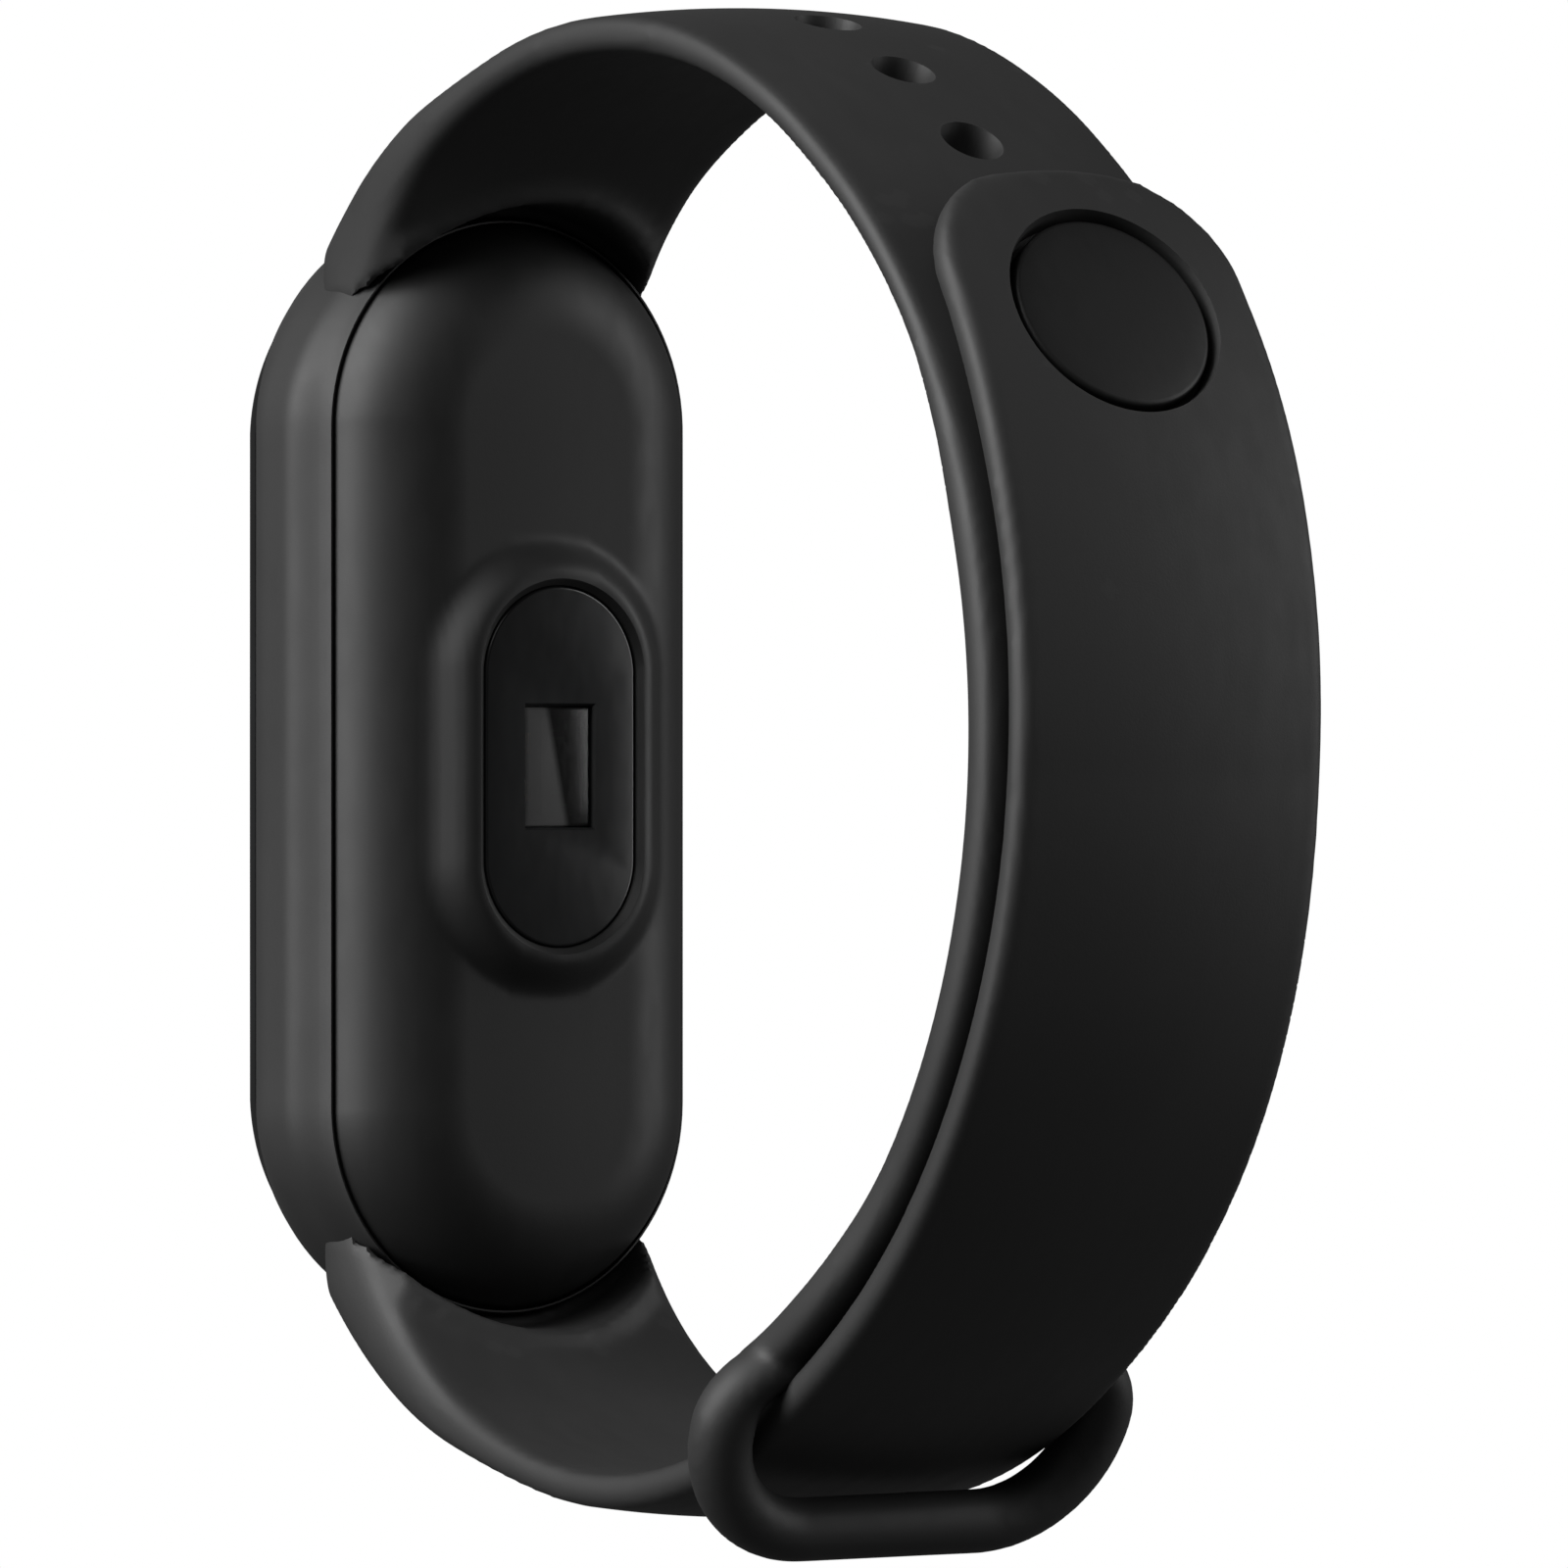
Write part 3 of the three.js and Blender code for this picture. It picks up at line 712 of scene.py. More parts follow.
# %% Cradle ring
cradle_low, cradle_high = box_mm("strap_cradle")
lip_outer = -0.05                        # out over the tracker's widest outline
lip_inner = -0.13
wall_full = 1.0
wall_front = 0.35
end_slimming = 0.6                       # the wall is thinner round the two ends
outer_points = 18
inner_points = 10


def cradle_section(share):
    """The wall's section: out over the tracker's outline against depth on X."""
    depth = cradle_high.x - cradle_low.x
    end_turn = abs(outline_point(share, *cradle_outline)[3])
    swell = wall_full - end_slimming * smooth_step(end_turn * 1.3)
    points = []
    for k in range(outer_points):
        t = k / (outer_points - 1)
        rear = math.sin(min(t / 0.4, 1) * math.pi / 2) ** 1.6
        front = (max(t - 0.7, 0) / 0.3) ** 2.2
        out = lip_outer + (swell - lip_outer) * rear - (swell - wall_front) * front
        points.append((out, cradle_high.x - depth * t))
    for k in range(inner_points):
        t = 1 - k / (inner_points - 1)
        lip = max(1 - t / 0.25, 0) ** 2
        points.append((pocket_gap + (lip_inner - pocket_gap) * lip, cradle_high.x - depth * t))
    return points


cradle_outline = (tracker_half_width, -tracker_half_length, tracker_half_length, (tracker_half_width - 0.001,) * 4)
cradle_rings = 200
cradle = ring_on_outline("cradle", cradle_outline, cradle_rings, cradle_section, lambda a, b, deep: (deep, a, b))
combine(cradle, upper_arm, "UNION")
cradle.name = cradle.data.name = "strap_upper_moulding"
print("cradle and upper arm:", len(cradle.data.polygons), "faces")

# %% [markdown]
# ## Lower arm and tail
#
# The outer layer is one piece with the cradle in the real strap, and it bends when the tail is peeled off the clasp.
# It is a piece of its own here. Its tip has round corners, and it thickens again toward the cradle.

# %% Lower arm and tail
tip_corner = 5.4
tail_half_width = 7.55
tip_slimming = 0.4
keeper_filling = 0.22                    # the tail nearly fills the keeper
tail_middle = 2.0
tail_edge = 1.4


def outer_section(distance):
    """The outer layer's section, from the tip to the cradle."""
    near_root = root_share(outer_length - distance, lower_root_reach)
    narrowing = smooth_step((outer_length - distance) / 22)
    half_width = arm_half_width + (tail_half_width - arm_half_width) * narrowing
    half_width -= tip_slimming * (1 - smooth_step(distance / 15))
    half_width += keeper_filling * smooth_step((distance - 25) / 20) * narrowing
    if distance < tip_corner:
        half_width -= tip_corner - math.sqrt(tip_corner**2 - (tip_corner - distance) ** 2)
    rounding = edge_rounding + 0.5 * near_root
    end = 1.0
    if distance < rounding:
        end = 0.35 + 0.65 * math.sqrt(1 - (1 - distance / rounding) ** 2)
    return (
        half_width,
        (tail_middle + root_extra * near_root) * end,
        (tail_edge + root_extra * near_root) * end,
        rounding,
    )


outer_layer = lay_on_path(bar("strap_lower_moulding", outer_path[-1, 0], bar_cuts), outer_path, outer_section, 1.5)
cut_pocket(outer_layer)
mould(outer_layer, mould_smoothing)
print("outer layer:", len(outer_layer.data.polygons), "faces")

# %% [markdown]
# ## Clasp
#
# The button sits in a round recess in the tail, with a stud and a peg that goes through a hole of the arm below. The
# recess has to keep a crisp rim, so it is cut after the remesh. The cutter is wider at its top: that leaves a small
# chamfer, which catches a thin line of light.

# %% Recess in the tail
button_radius = 4.5
button_gap = 0.27
recess_floor = 0.9                       # heights over the tail's wrist side
chamfer_start = 1.62
stud_radius = 1.3
stud_clearance = 0.2
peg_radius = 1.0
clasp_place = on_path(upper_path, peg_distance, outer_lift)

recess = round_tool("recess", button_radius + button_gap, recess_floor, chamfer_start, Matrix.Identity(4), 96)
pick(recess, "FACE", lambda f: f.normal.z > 0.9)
bpy.ops.mesh.extrude_region_move(TRANSFORM_OT_translate={"value": (0, 0, 0.9)})
bpy.ops.transform.resize(value=(1.05, 1.05, 1))
bpy.ops.object.mode_set(mode="OBJECT")
recess.data.transform(clasp_place)
combine(outer_layer, recess, "DIFFERENCE")
combine(outer_layer, round_tool("stud_hole", stud_radius + stud_clearance, -1, 3, clasp_place), "DIFFERENCE")
print("recess radius", button_radius + button_gap, "mm")

# %% [markdown]
# The button is one moulding: a disc with a rounded rim and a faint dome, then the stud and the peg under it. It is
# drawn as on a lathe by hand: faces are inset and pushed, one after the other.

# %% Button
clear_pick()
disc_low, disc_high = 1.0, 2.0
bpy.ops.mesh.primitive_cylinder_add(
    vertices=96, radius=button_radius, depth=disc_high - disc_low, location=(0, 0, (disc_low + disc_high) / 2)
)
button = begin("clasp_button_moulding")
pick(button, "EDGE", lambda e: all(v.co.z > disc_high - 0.01 for v in e.verts))
bpy.ops.mesh.bevel(offset=0.22, segments=4)
pick(button, "FACE", lambda f: f.normal.z > 0.99 and f.calc_area() > 10)
for dome_step in (0.07, 0.05, 0.035, 0.02):
    bpy.ops.mesh.inset(thickness=0.8, depth=dome_step)
pick(button, "FACE", lambda f: f.normal.z < -0.99 and f.calc_area() > 10)
bpy.ops.mesh.inset(thickness=button_radius - stud_radius)
bpy.ops.mesh.extrude_region_move(TRANSFORM_OT_translate={"value": (0, 0, -disc_low)})
bpy.ops.mesh.inset(thickness=stud_radius - peg_radius)
bpy.ops.mesh.extrude_region_move(TRANSFORM_OT_translate={"value": (0, 0, -1.7)})
bpy.ops.mesh.extrude_region_move(TRANSFORM_OT_translate={"value": (0, 0, -0.3)})
bpy.ops.transform.resize(value=(0.65, 0.65, 1))
bpy.ops.object.mode_set(mode="OBJECT")
button.data.transform(clasp_place)
face_outward(button)
print("button:", len(button.data.polygons), "faces")

# %% [markdown]
# ## Tracker shell
#
# The shell is a lozenge whose back rolls over into a broad soft edge, with a raised boss that carries the sensor
# window. Insetting the end face again and again, each time a bit further out, draws the rolled edge. It also leaves
# even rings of vertices over the back, and these are then raised to the boss.


# %% Domed blocks
def domed_block(name, half_width, half_length, base_x, top_x, edge_in, edge_rise, steps, length_cuts=0):
    """A stadium block from base_x to top_x whose face at top_x rolls over in a quarter ellipse."""
    side = 1 if top_x > base_x else -1
    wall_x = top_x - side * edge_rise
    piece = stadium_block(name, half_width, half_length, min(base_x, wall_x), max(base_x, wall_x), 160)
    if length_cuts:
        pick(piece, "EDGE", lambda e: abs(e.verts[0].co.z - e.verts[1].co.z) > 2)
        bpy.ops.mesh.subdivide(number_cuts=length_cuts)
    pick(piece, "FACE", lambda f: side * f.normal.x > 0.99)
    for step in range(steps):
        a, b = (math.pi / 2 * k / steps for k in (step, step + 1))
        bpy.ops.mesh.inset(
            thickness=edge_in * (math.cos(a) - math.cos(b)), depth=edge_rise * (math.sin(b) - math.sin(a))
        )
    return piece


print("domed blocks are ready")

# %% Shell with its boss
shell_edge = 4.8
back_plane = shell_high.x - 1.2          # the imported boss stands 1.2 mm over the back
plateau = shell_high.x
boss_top = (4.25, 8.25)                  # half width and half length
boss_flank = 1.75
back_crown = 0.15
edge_steps_of_shell, side_cuts = 24, 30
back_rings, ring_step = 11, 0.2


def outside_stadium(y, z, half_width, half_length):
    """Distance outside a stadium outline, negative inside."""
    return math.hypot(y, max(abs(z) - (half_length - half_width), 0)) - half_width


shell = domed_block(
    "tracker_rear_shell", tracker_half_width, tracker_half_length,
    shell_low.x, back_plane, shell_edge, shell_edge, edge_steps_of_shell, side_cuts,
)
for _ in range(back_rings):
    bpy.ops.mesh.inset(thickness=ring_step)
for narrowing in (0.5, 0):               # the strip left in the middle closes on its own centre line
    bpy.ops.mesh.extrude_region_move(TRANSFORM_OT_translate={"value": (0, 0, 0)})
    bpy.ops.transform.resize(value=(1, narrowing, 1))
bpy.ops.mesh.delete(type="ONLY_FACE")
pick(shell, "EDGE", lambda e: math.dist(e.verts[0].co.xy, e.verts[1].co.xy) < 0.001 and e.calc_length() > 0.3)
bpy.ops.mesh.subdivide(number_cuts=2)
bpy.ops.object.mode_set(mode="OBJECT")
for vertex in shell.data.vertices:
    y, z = vertex.co.y, vertex.co.z
    if vertex.co.x > shell_low.x + 1:
        inside = max(-outside_stadium(y, z, tracker_half_width, tracker_half_length) / tracker_half_width, 0)
        vertex.co.x += back_crown * smooth_step(inside)
        boss = 1 - smooth_step(outside_stadium(y, z, *boss_top) / boss_flank)
        vertex.co.x += (plateau - vertex.co.x) * boss
face_outward(shell)
print("shell:", len(shell.data.polygons), "faces")

# %% Shell openings
wall = 0.6
cavity_edge = 4.4
cavity = domed_block(
    "cavity", tracker_half_width - wall, tracker_half_length - wall,
    shell_low.x - 1, back_plane - wall, cavity_edge, cavity_edge, 10,
)
bpy.ops.object.mode_set(mode="OBJECT")
combine(shell, cavity, "DIFFERENCE")
window_low, window_high = box_mm("sensor_window")
window_half = (window_high.y, window_high.z)
recess_gap = 0.05
recess_rim = 0.28                        # a chamfer round the lens that catches a thin line of light
ledge = 1                                # the lens rests on this much of the shell all round
sight = stadium_block("sight", window_half[0] - ledge, window_half[1] - ledge, -24.5, -20)
combine(shell, sight, "DIFFERENCE")
seat = stadium_block(
    "window_seat", window_half[0] + recess_gap, window_half[1] + recess_gap, window_low.x - 0.1, plateau - recess_rim
)
pick(seat, "FACE", lambda f: f.normal.x > 0.99)
bpy.ops.mesh.extrude_region_move(TRANSFORM_OT_translate={"value": (2 * recess_rim, 0, 0)})
bpy.ops.transform.resize(value=(1, 1 + 2 * recess_rim / window_half[0], 1 + 2 * recess_rim / window_half[1]))
bpy.ops.object.mode_set(mode="OBJECT")
combine(shell, seat, "DIFFERENCE")
bore_clearance = 0.1
for node in ("left_contact_seal", "right_contact_seal"):
    low, high = box_mm(node)
    middle = (low + high) / 2
    bore = Matrix.Translation((middle.x, middle.y, -tracker_half_length))
    combine(shell, round_tool("contact_bore", (high.x - low.x) / 2 + bore_clearance, -2, 2.5, bore), "DIFFERENCE")
print("shell with its openings:", len(shell.data.polygons), "faces")

# %% [markdown]
# ## Sensor window
#
# The window is a polished black lens let into the boss. A small clear rectangle in it lets the light of the sensor
# through. The clear part is a smoked pane of its own, so the dark walls and cells of the sensor show under it. Its
# colour carries a painted reflection: one half is painted grey, the other half dark.

# %% Lens and clear pane
lens_top = plateau - 0.2
pane_high = box_mm("light_barrier")[1]
pane_half = (pane_high.y, pane_high.z)


def slab(name, half_y, half_z, low_x, high_x):
    """A rectangular block between two places on X."""
    clear_pick()
    bpy.ops.mesh.primitive_cube_add(size=2, location=((low_x + high_x) / 2, 0, 0))
    block = bpy.context.active_object
    block.scale = ((high_x - low_x) / 2, half_y, half_z)
    return begin(name)


lens = stadium_block("sensor_lens", *window_half, window_low.x, lens_top)
pick(lens, "EDGE", lambda e: all(v.co.x > lens_top - 0.01 for v in e.verts))
bpy.ops.mesh.bevel(offset=0.15, segments=4)
bpy.ops.object.mode_set(mode="OBJECT")
opening = slab("opening", pane_half[0], pane_half[1], window_low.x - 1, lens_top - 0.12)
pick(opening, "FACE", lambda f: f.normal.x > 0.99)
bpy.ops.mesh.extrude_region_move(TRANSFORM_OT_translate={"value": (0.3, 0, 0)})
bpy.ops.transform.resize(value=(1, 1.15, 1.1))
bpy.ops.object.mode_set(mode="OBJECT")
combine(lens, opening, "DIFFERENCE")
face_outward(lens)

pane = slab("sensor_pane", pane_half[0] - 0.04, pane_half[1] - 0.04, window_low.x + 0.1, lens_top - 0.2)
pick(pane, "EDGE", lambda e: all(v.co.x > lens_top - 0.3 for v in e.verts))
bpy.ops.mesh.bevel(offset=0.16, segments=2)
bpy.ops.object.mode_set(mode="OBJECT")
face_outward(pane)
print("lens and pane:", len(lens.data.polygons), len(pane.data.polygons), "faces")

# %% [markdown]
# ## Front glass
#
# The display glass is flat with edges that roll over, so a dark sliver of it shows round the cradle. It is the same
# domed block as the shell, facing the other way.

# %% Front glass
glass_low, glass_high = box_mm("front_glass")
glass_half_length = glass_high.z - 0.5
glass_roll, glass_rise = 1.6, 0.9        # how far the edge rolls over, in and down
glass = domed_block(
    "front_cover_glass", glass_high.y, glass_half_length, glass_high.x, glass_low.x, glass_roll, glass_rise, 12
)
bpy.ops.object.mode_set(mode="OBJECT")
face_outward(glass)
print("glass:", len(glass.data.polygons), "faces")

# %% [markdown]
# ## Effects that the finishes share
#
# Real plastic and rubber are never one flat colour. Moulded skin has a fine grain and broad, faint patches. Edges
# that rub on sleeves turn smoother and a touch paler. Metal and foil carry fine lines. Each effect is a node group
# that puts out a value; every finish places it with its own sizes.


# %% Node helpers
def new_group(name, inputs, outputs):
    """An empty shader node group with named number inputs and outputs."""
    group = bpy.data.node_groups.new(name, "ShaderNodeTree")
    for label, value in inputs.items():
        socket = group.interface.new_socket(label, in_out="INPUT", socket_type="NodeSocketFloat")
        socket.default_value = value
    for label in outputs:
        group.interface.new_socket(label, in_out="OUTPUT", socket_type="NodeSocketFloat")
    return group, group.nodes.new("NodeGroupInput"), group.nodes.new("NodeGroupOutput")


def calculate(tree, operation, first, second=None, clamp=False):
    """A Math node on two sockets or numbers. Returns its output."""
    node = tree.nodes.new("ShaderNodeMath")
    node.operation = operation
    node.use_clamp = clamp
    for index, value in enumerate((first, second)):
        if isinstance(value, bpy.types.NodeSocket):
            tree.links.new(value, node.inputs[index])
        elif value is not None:
            node.inputs[index].default_value = value
    return node.outputs[0]


def noise(tree, size_mm, detail=2.0, stretch=(1, 1, 1)):
    """A noise on Object coordinates with features of about that size. Returns its 0 to 1 value."""
    place = tree.nodes.new("ShaderNodeTexCoord")
    mapping = tree.nodes.new("ShaderNodeMapping")
    mapping.inputs["Scale"].default_value = stretch
    texture = tree.nodes.new("ShaderNodeTexNoise")
    texture.inputs["Detail"].default_value = detail
    tree.links.new(place.outputs["Object"], mapping.inputs["Vector"])
    tree.links.new(mapping.outputs["Vector"], texture.inputs["Vector"])
    tree.links.new(calculate(tree, "DIVIDE", 1 / MM, size_mm), texture.inputs["Scale"])
    return texture.outputs["Fac"]


def spread(tree, value, low, high):
    """Stretches the part of a value between low and high to 0 to 1."""
    node = tree.nodes.new("ShaderNodeMapRange")
    node.inputs["From Min"].default_value = low
    node.inputs["From Max"].default_value = high
    tree.links.new(value, node.inputs["Value"])
    return node.outputs["Result"]


print("node helpers are ready")

# %% Moulded skin
skin, skin_in, skin_out = new_group("moulded_skin", {"Grain mm": 0.12, "Patch mm": 9.0}, ("Grain", "Patch", "Smear"))
skin.links.new(noise(skin, skin_in.outputs["Grain mm"], 3.0), skin_out.inputs["Grain"])
skin.links.new(spread(skin, noise(skin, skin_in.outputs["Patch mm"], 1.0), 0.3, 0.7), skin_out.inputs["Patch"])
smear = noise(skin, calculate(skin, "MULTIPLY", skin_in.outputs["Patch mm"], 0.25), 2.0, (1, 2.5, 1))
skin.links.new(spread(skin, smear, 0.35, 0.65), skin_out.inputs["Smear"])
print("effect:", skin.name)

# %% Rubbed edges
rubbed, rubbed_in, rubbed_out = new_group("rubbed_edges", {"Reach": 1.0, "Unevenness": 0.5}, ("Mask",))
surface = rubbed.nodes.new("ShaderNodeNewGeometry")
sharp = spread(rubbed, surface.outputs["Pointiness"], 0.51, 0.56)
uneven = spread(rubbed, noise(rubbed, 1.4, 3.0), 0.3, 0.7)
kept = calculate(rubbed, "SUBTRACT", 1.0, calculate(rubbed, "MULTIPLY", uneven, rubbed_in.outputs["Unevenness"]))
edge = calculate(rubbed, "MULTIPLY", calculate(rubbed, "MULTIPLY", sharp, rubbed_in.outputs["Reach"]), kept, True)
rubbed.links.new(edge, rubbed_out.inputs["Mask"])
print("effect:", rubbed.name)

# %% Drawn lines in metal and foil
drawn, drawn_in, drawn_out = new_group("drawn_lines", {"Line mm": 0.08}, ("Line", "Tarnish"))
drawn.links.new(noise(drawn, drawn_in.outputs["Line mm"], 2.0, (1, 1, 0.06)), drawn_out.inputs["Line"])
drawn.links.new(spread(drawn, noise(drawn, 1.1, 3.0), 0.35, 0.75), drawn_out.inputs["Tarnish"])
print("effect:", drawn.name)

# %% Copper tracks under the lacquer of a board
tracks, tracks_in, tracks_out = new_group("board_tracks", {"Pitch mm": 0.5}, ("Mask", "Height"))
place = tracks.nodes.new("ShaderNodeTexCoord")
cells = tracks.nodes.new("ShaderNodeTexVoronoi")
cells.distance = "CHEBYCHEV"
cells.feature = "F1"
tracks.links.new(place.outputs["Object"], cells.inputs["Vector"])
tracks.links.new(calculate(tracks, "DIVIDE", 1 / MM, tracks_in.outputs["Pitch mm"]), cells.inputs["Scale"])
wave = calculate(tracks, "SINE", calculate(tracks, "MULTIPLY", cells.outputs["Distance"], 18.0))
line = calculate(tracks, "GREATER_THAN", wave, 0.55)
tracks.links.new(line, tracks_out.inputs["Mask"])
tracks.links.new(calculate(tracks, "MULTIPLY", line, 0.5), tracks_out.inputs["Height"])
print("shared effects:", [group.name for group in bpy.data.node_groups])


# %% [markdown]
# ## Finishes
#
# Rubber and satin plastic differ mostly in how wide their highlights are. Both get the moulded skin: the grain as a
# bump far finer than a millimetre, the patches as a few percent more or less colour and gloss.


# %% A finish from its parts
class Finish:
    """A material with one Principled shader, and short ways to feed it."""

    def __init__(self, name, **settings):
        self.material = bpy.data.materials.new(name)
        self.material.use_nodes = True
        self.tree = self.material.node_tree
        self.shader = self.tree.nodes["Principled BSDF"]
        for label, value in settings.items():
            self.shader.inputs[label.replace("_", " ")].default_value = value

    def effect(self, group, **values):
        """Places a shared effect with this finish's own sizes."""
        node = self.tree.nodes.new("ShaderNodeGroup")
        node.node_tree = group
        for label, value in values.items():
            node.inputs[label.replace("_", " ")].default_value = value
        return node.outputs

    def color(self, value, dark, light):
        """Base colour between two colours, by a value."""
        mix = self.tree.nodes.new("ShaderNodeMix")
        mix.data_type = "RGBA"
        mix.inputs["A"].default_value = (*dark, 1)
        mix.inputs["B"].default_value = (*light, 1)
        self.tree.links.new(value, mix.inputs["Factor"])
        self.tree.links.new(mix.outputs["Result"], self.shader.inputs["Base Color"])
        return mix

    def roughness(self, value, low, high):
        """Roughness between two values, by a value."""
        node = self.tree.nodes.new("ShaderNodeMapRange")
        node.inputs["To Min"].default_value = low
        node.inputs["To Max"].default_value = high
        self.tree.links.new(value, node.inputs["Value"])
        self.tree.links.new(node.outputs["Result"], self.shader.inputs["Roughness"])

    def bump(self, height, depth_mm, strength=1.0):
        """A fine relief from a height value."""
        node = self.tree.nodes.new("ShaderNodeBump")
        node.inputs["Distance"].default_value = depth_mm * MM
        node.inputs["Strength"].default_value = strength
        self.tree.links.new(height, node.inputs["Height"])
        self.tree.links.new(node.outputs["Normal"], self.shader.inputs["Normal"])


def grey(level, warm=0.0):
    """A near-neutral colour."""
    return level * (1 + warm), level, level * (1 - warm)


def moulded(name, level, roughness, grain_mm, grain_depth, patch_mm, rub=0.5, **settings):
    """Rubber or plastic straight from the mould."""
    finish = Finish(name, **settings)
    skin_of = finish.effect(skin, Grain_mm=grain_mm, Patch_mm=patch_mm)
    edges = finish.effect(rubbed, Reach=rub)
    patches = calculate(finish.tree, "MULTIPLY", skin_of["Patch"], 0.45)
    tone = calculate(finish.tree, "ADD", patches, edges["Mask"], True)
    finish.color(tone, grey(level * 0.9), grey(level * 1.35))
    wear = calculate(finish.tree, "SUBTRACT", skin_of["Smear"], edges["Mask"], True)
    finish.roughness(wear, roughness - 0.02, roughness + 0.02)
    finish.bump(skin_of["Grain"], grain_depth)
    return finish.material


finishes = {
    "strap_rubber": moulded("strap_rubber", 0.020, 0.58, 0.10, 0.004, 10, 0.6, Specular_IOR_Level=0.42),
    "button_plastic": moulded("button_plastic", 0.007, 0.50, 0.08, 0.003, 5, 0.6, Specular_IOR_Level=0.3),
    "shell_plastic": moulded("shell_plastic", 0.010, 0.50, 0.07, 0.003, 8, 0.4, Specular_IOR_Level=0.42),
    "black_gasket": moulded("black_gasket", 0.020, 0.70, 0.15, 0.005, 3, 0.2),
    "black_plastic": moulded("black_plastic", 0.040, 0.45, 0.10, 0.004, 4, 0.3),
    "chip_black": moulded("chip_black", 0.022, 0.42, 0.05, 0.002, 2, 0.2),
}
print("moulded finishes:", sorted(finishes))

# %% Window, glass and display
def polished(name, level, roughness, **settings):
    """A polished black surface with the faint clouding of a wiped lens."""
    finish = Finish(name, **settings)
    skin_of = finish.effect(skin, Grain_mm=0.9, Patch_mm=6)
    finish.color(skin_of["Patch"], grey(level), grey(level * 1.5, -0.05))
    finish.roughness(skin_of["Smear"], roughness, roughness + 0.03)
    return finish


finishes["window_lens"] = polished("window_lens", 0.010, 0.22).material
finishes["display_black"] = polished("display_black", 0.006, 0.15).material
finishes["front_glass"] = polished("front_glass", 0.007, 0.05, Coat_Weight=0.5, Coat_Roughness=0.03).material

# The pane's colour holds a painted reflection: one half is painted grey and the other half dark, with a short,
# slanted change from one to the other.
reflection_slant = 0.2
reflection_start, reflection_end = -0.0002, 0.0001
smoked_painted_reflection = Finish("smoked_pane_painted_reflection", Alpha=0.6)
where = smoked_painted_reflection.tree.nodes.new("ShaderNodeTexCoord")
sides = smoked_painted_reflection.tree.nodes.new("ShaderNodeSeparateXYZ")
smoked_painted_reflection.tree.links.new(where.outputs["Object"], sides.inputs["Vector"])
reflection_split = calculate(smoked_painted_reflection.tree, "MULTIPLY_ADD", sides.outputs["Z"], reflection_slant)
smoked_painted_reflection.tree.links.new(sides.outputs["Y"], reflection_split.node.inputs[2])
# painted reflection: the grey colour stands for light reflected on the glass, the dark one is the smoked pane's own
# colour
smoked_painted_reflection.color(spread(smoked_painted_reflection.tree, reflection_split, reflection_start, reflection_end), grey(0.17), grey(0.008))
smoked_painted_reflection.roughness(smoked_painted_reflection.effect(skin, Patch_mm=2)["Smear"], 0.18, 0.24)
print("glassy finishes: window_lens, display_black, front_glass, smoked_pane_painted_reflection")

# %% Metals and foil
def metal(name, dark, light, roughness, line_mm, line_depth):
    """Metal with drawn lines and a little tarnish."""
    finish = Finish(name, Metallic=1.0)
    lines = finish.effect(drawn, Line_mm=line_mm)
    finish.color(lines["Tarnish"], light, dark)
    finish.roughness(lines["Line"], roughness, roughness + 0.18)
    finish.bump(lines["Line"], line_depth)
    return finish.material


finishes["steel"] = metal("steel", grey(0.36), grey(0.58), 0.22, 0.06, 0.002)
finishes["contact_gold"] = metal("contact_gold", (0.52, 0.34, 0.12), (0.82, 0.6, 0.26), 0.18, 0.05, 0.001)
finishes["battery_foil"] = metal("battery_foil", grey(0.38, -0.03), grey(0.56, -0.02), 0.30, 0.5, 0.01)
print("metal finishes: steel, contact_gold, battery_foil")

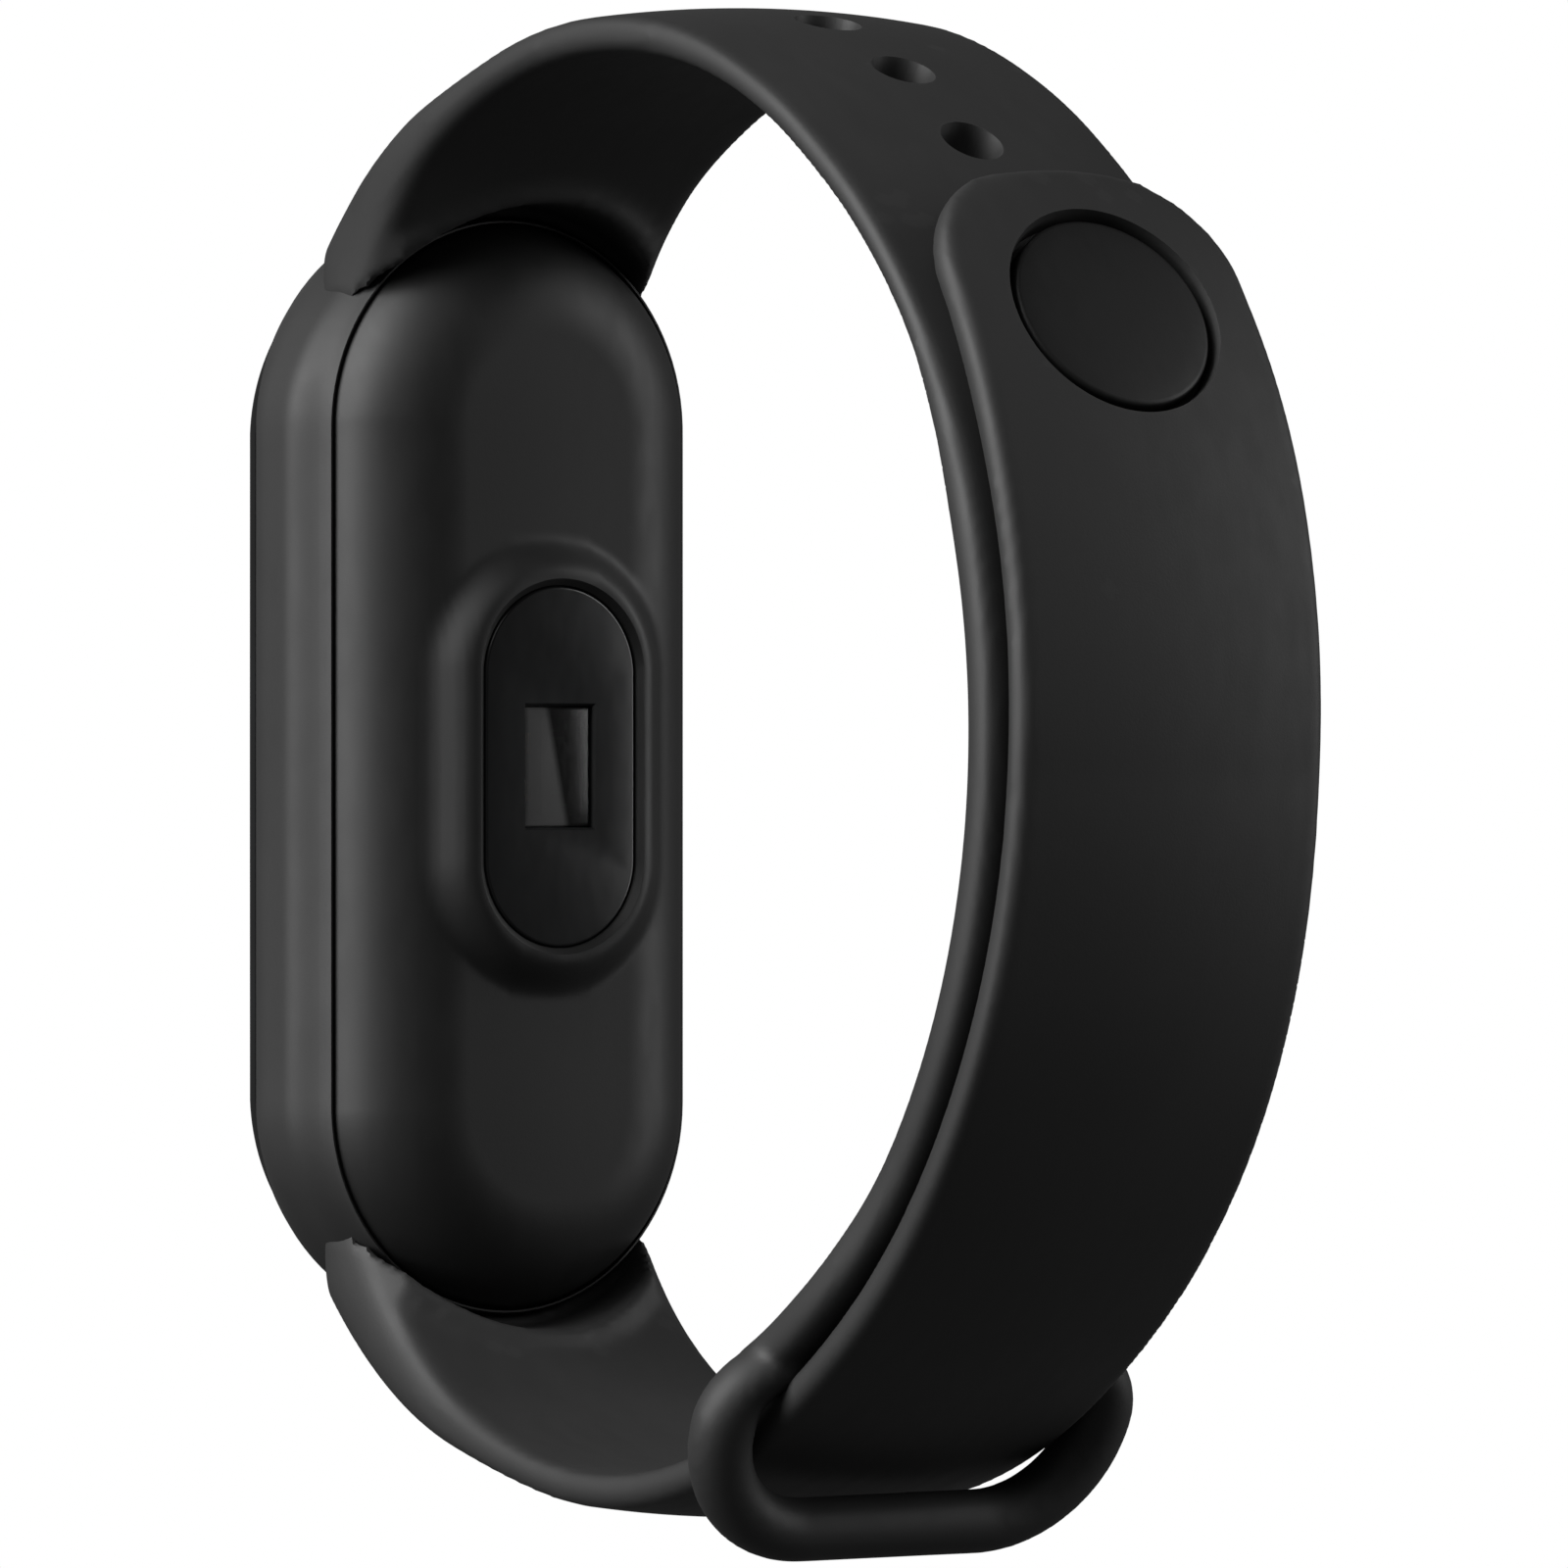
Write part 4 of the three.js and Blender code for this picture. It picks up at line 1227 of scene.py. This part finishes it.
# %% Circuit board and flex
def lacquered(name, base, copper, roughness, pitch):
    """Board or flex: tracks that show as paler, raised lines under the lacquer."""
    finish = Finish(name, Coat_Weight=0.25)
    lines = finish.effect(tracks, Pitch_mm=pitch)
    skin_of = finish.effect(skin, Grain_mm=0.2, Patch_mm=3)
    finish.color(lines["Mask"], base, copper)
    finish.roughness(skin_of["Smear"], roughness, roughness + 0.1)
    finish.bump(lines["Height"], 0.03)
    return finish.material


finishes["board_green"] = lacquered("board_green", (0.012, 0.075, 0.035), (0.04, 0.17, 0.07), 0.35, 1.1)
finishes["flex_amber"] = lacquered("flex_amber", (0.26, 0.11, 0.02), (0.45, 0.22, 0.05), 0.32, 0.8)
print("finishes:", sorted(finishes))

# %% [markdown]
# ## Dressing the model
#
# Every new piece takes its finish and stands for the imported nodes that it replaces; all but the outer layer ride on
# a body. The packed nodes that stay take the finish of their slot.

# %% Finish and mount the new pieces
finish_piece(cradle, finishes["strap_rubber"], 40)
finish_piece(outer_layer, finishes["strap_rubber"], 40)
finish_piece(button, finishes["button_plastic"])
finish_piece(shell, finishes["shell_plastic"], 35)
finish_piece(lens, finishes["window_lens"])
finish_piece(pane, smoked_painted_reflection.material)
finish_piece(glass, finishes["front_glass"])

for piece, body, nodes in (
    (cradle, "strap", ("strap_cradle", "strap_upper_arm", "strap_keeper_loop")),
    (button, "tail", ("clasp_button",)),
    (shell, "tracker", ("rear_shell",)),
    (lens, "tracker", ("sensor_window",)),
    (pane, "tracker", ()),
    (glass, "tracker", ("front_glass",)),
):
    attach(piece, body)
    if nodes:
        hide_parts(*nodes)
print("new pieces are dressed and mounted")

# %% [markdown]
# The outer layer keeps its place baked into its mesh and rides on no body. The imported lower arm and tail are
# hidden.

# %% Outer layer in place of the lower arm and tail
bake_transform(outer_layer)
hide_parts("strap_lower_arm", "strap_tail")

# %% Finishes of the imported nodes
for part in frame["record"]["subparts"]:
    node = frame["nodes"][part["node"]]
    node.data.materials.clear()
    node.data.materials.append(finishes[part["material_slot"]])
print(len(frame["nodes"]), "packed nodes dressed")

# %% Sizes and the end
import json

print("model box:", [[round(c, 4) for c in corner] for corner in cad_box])
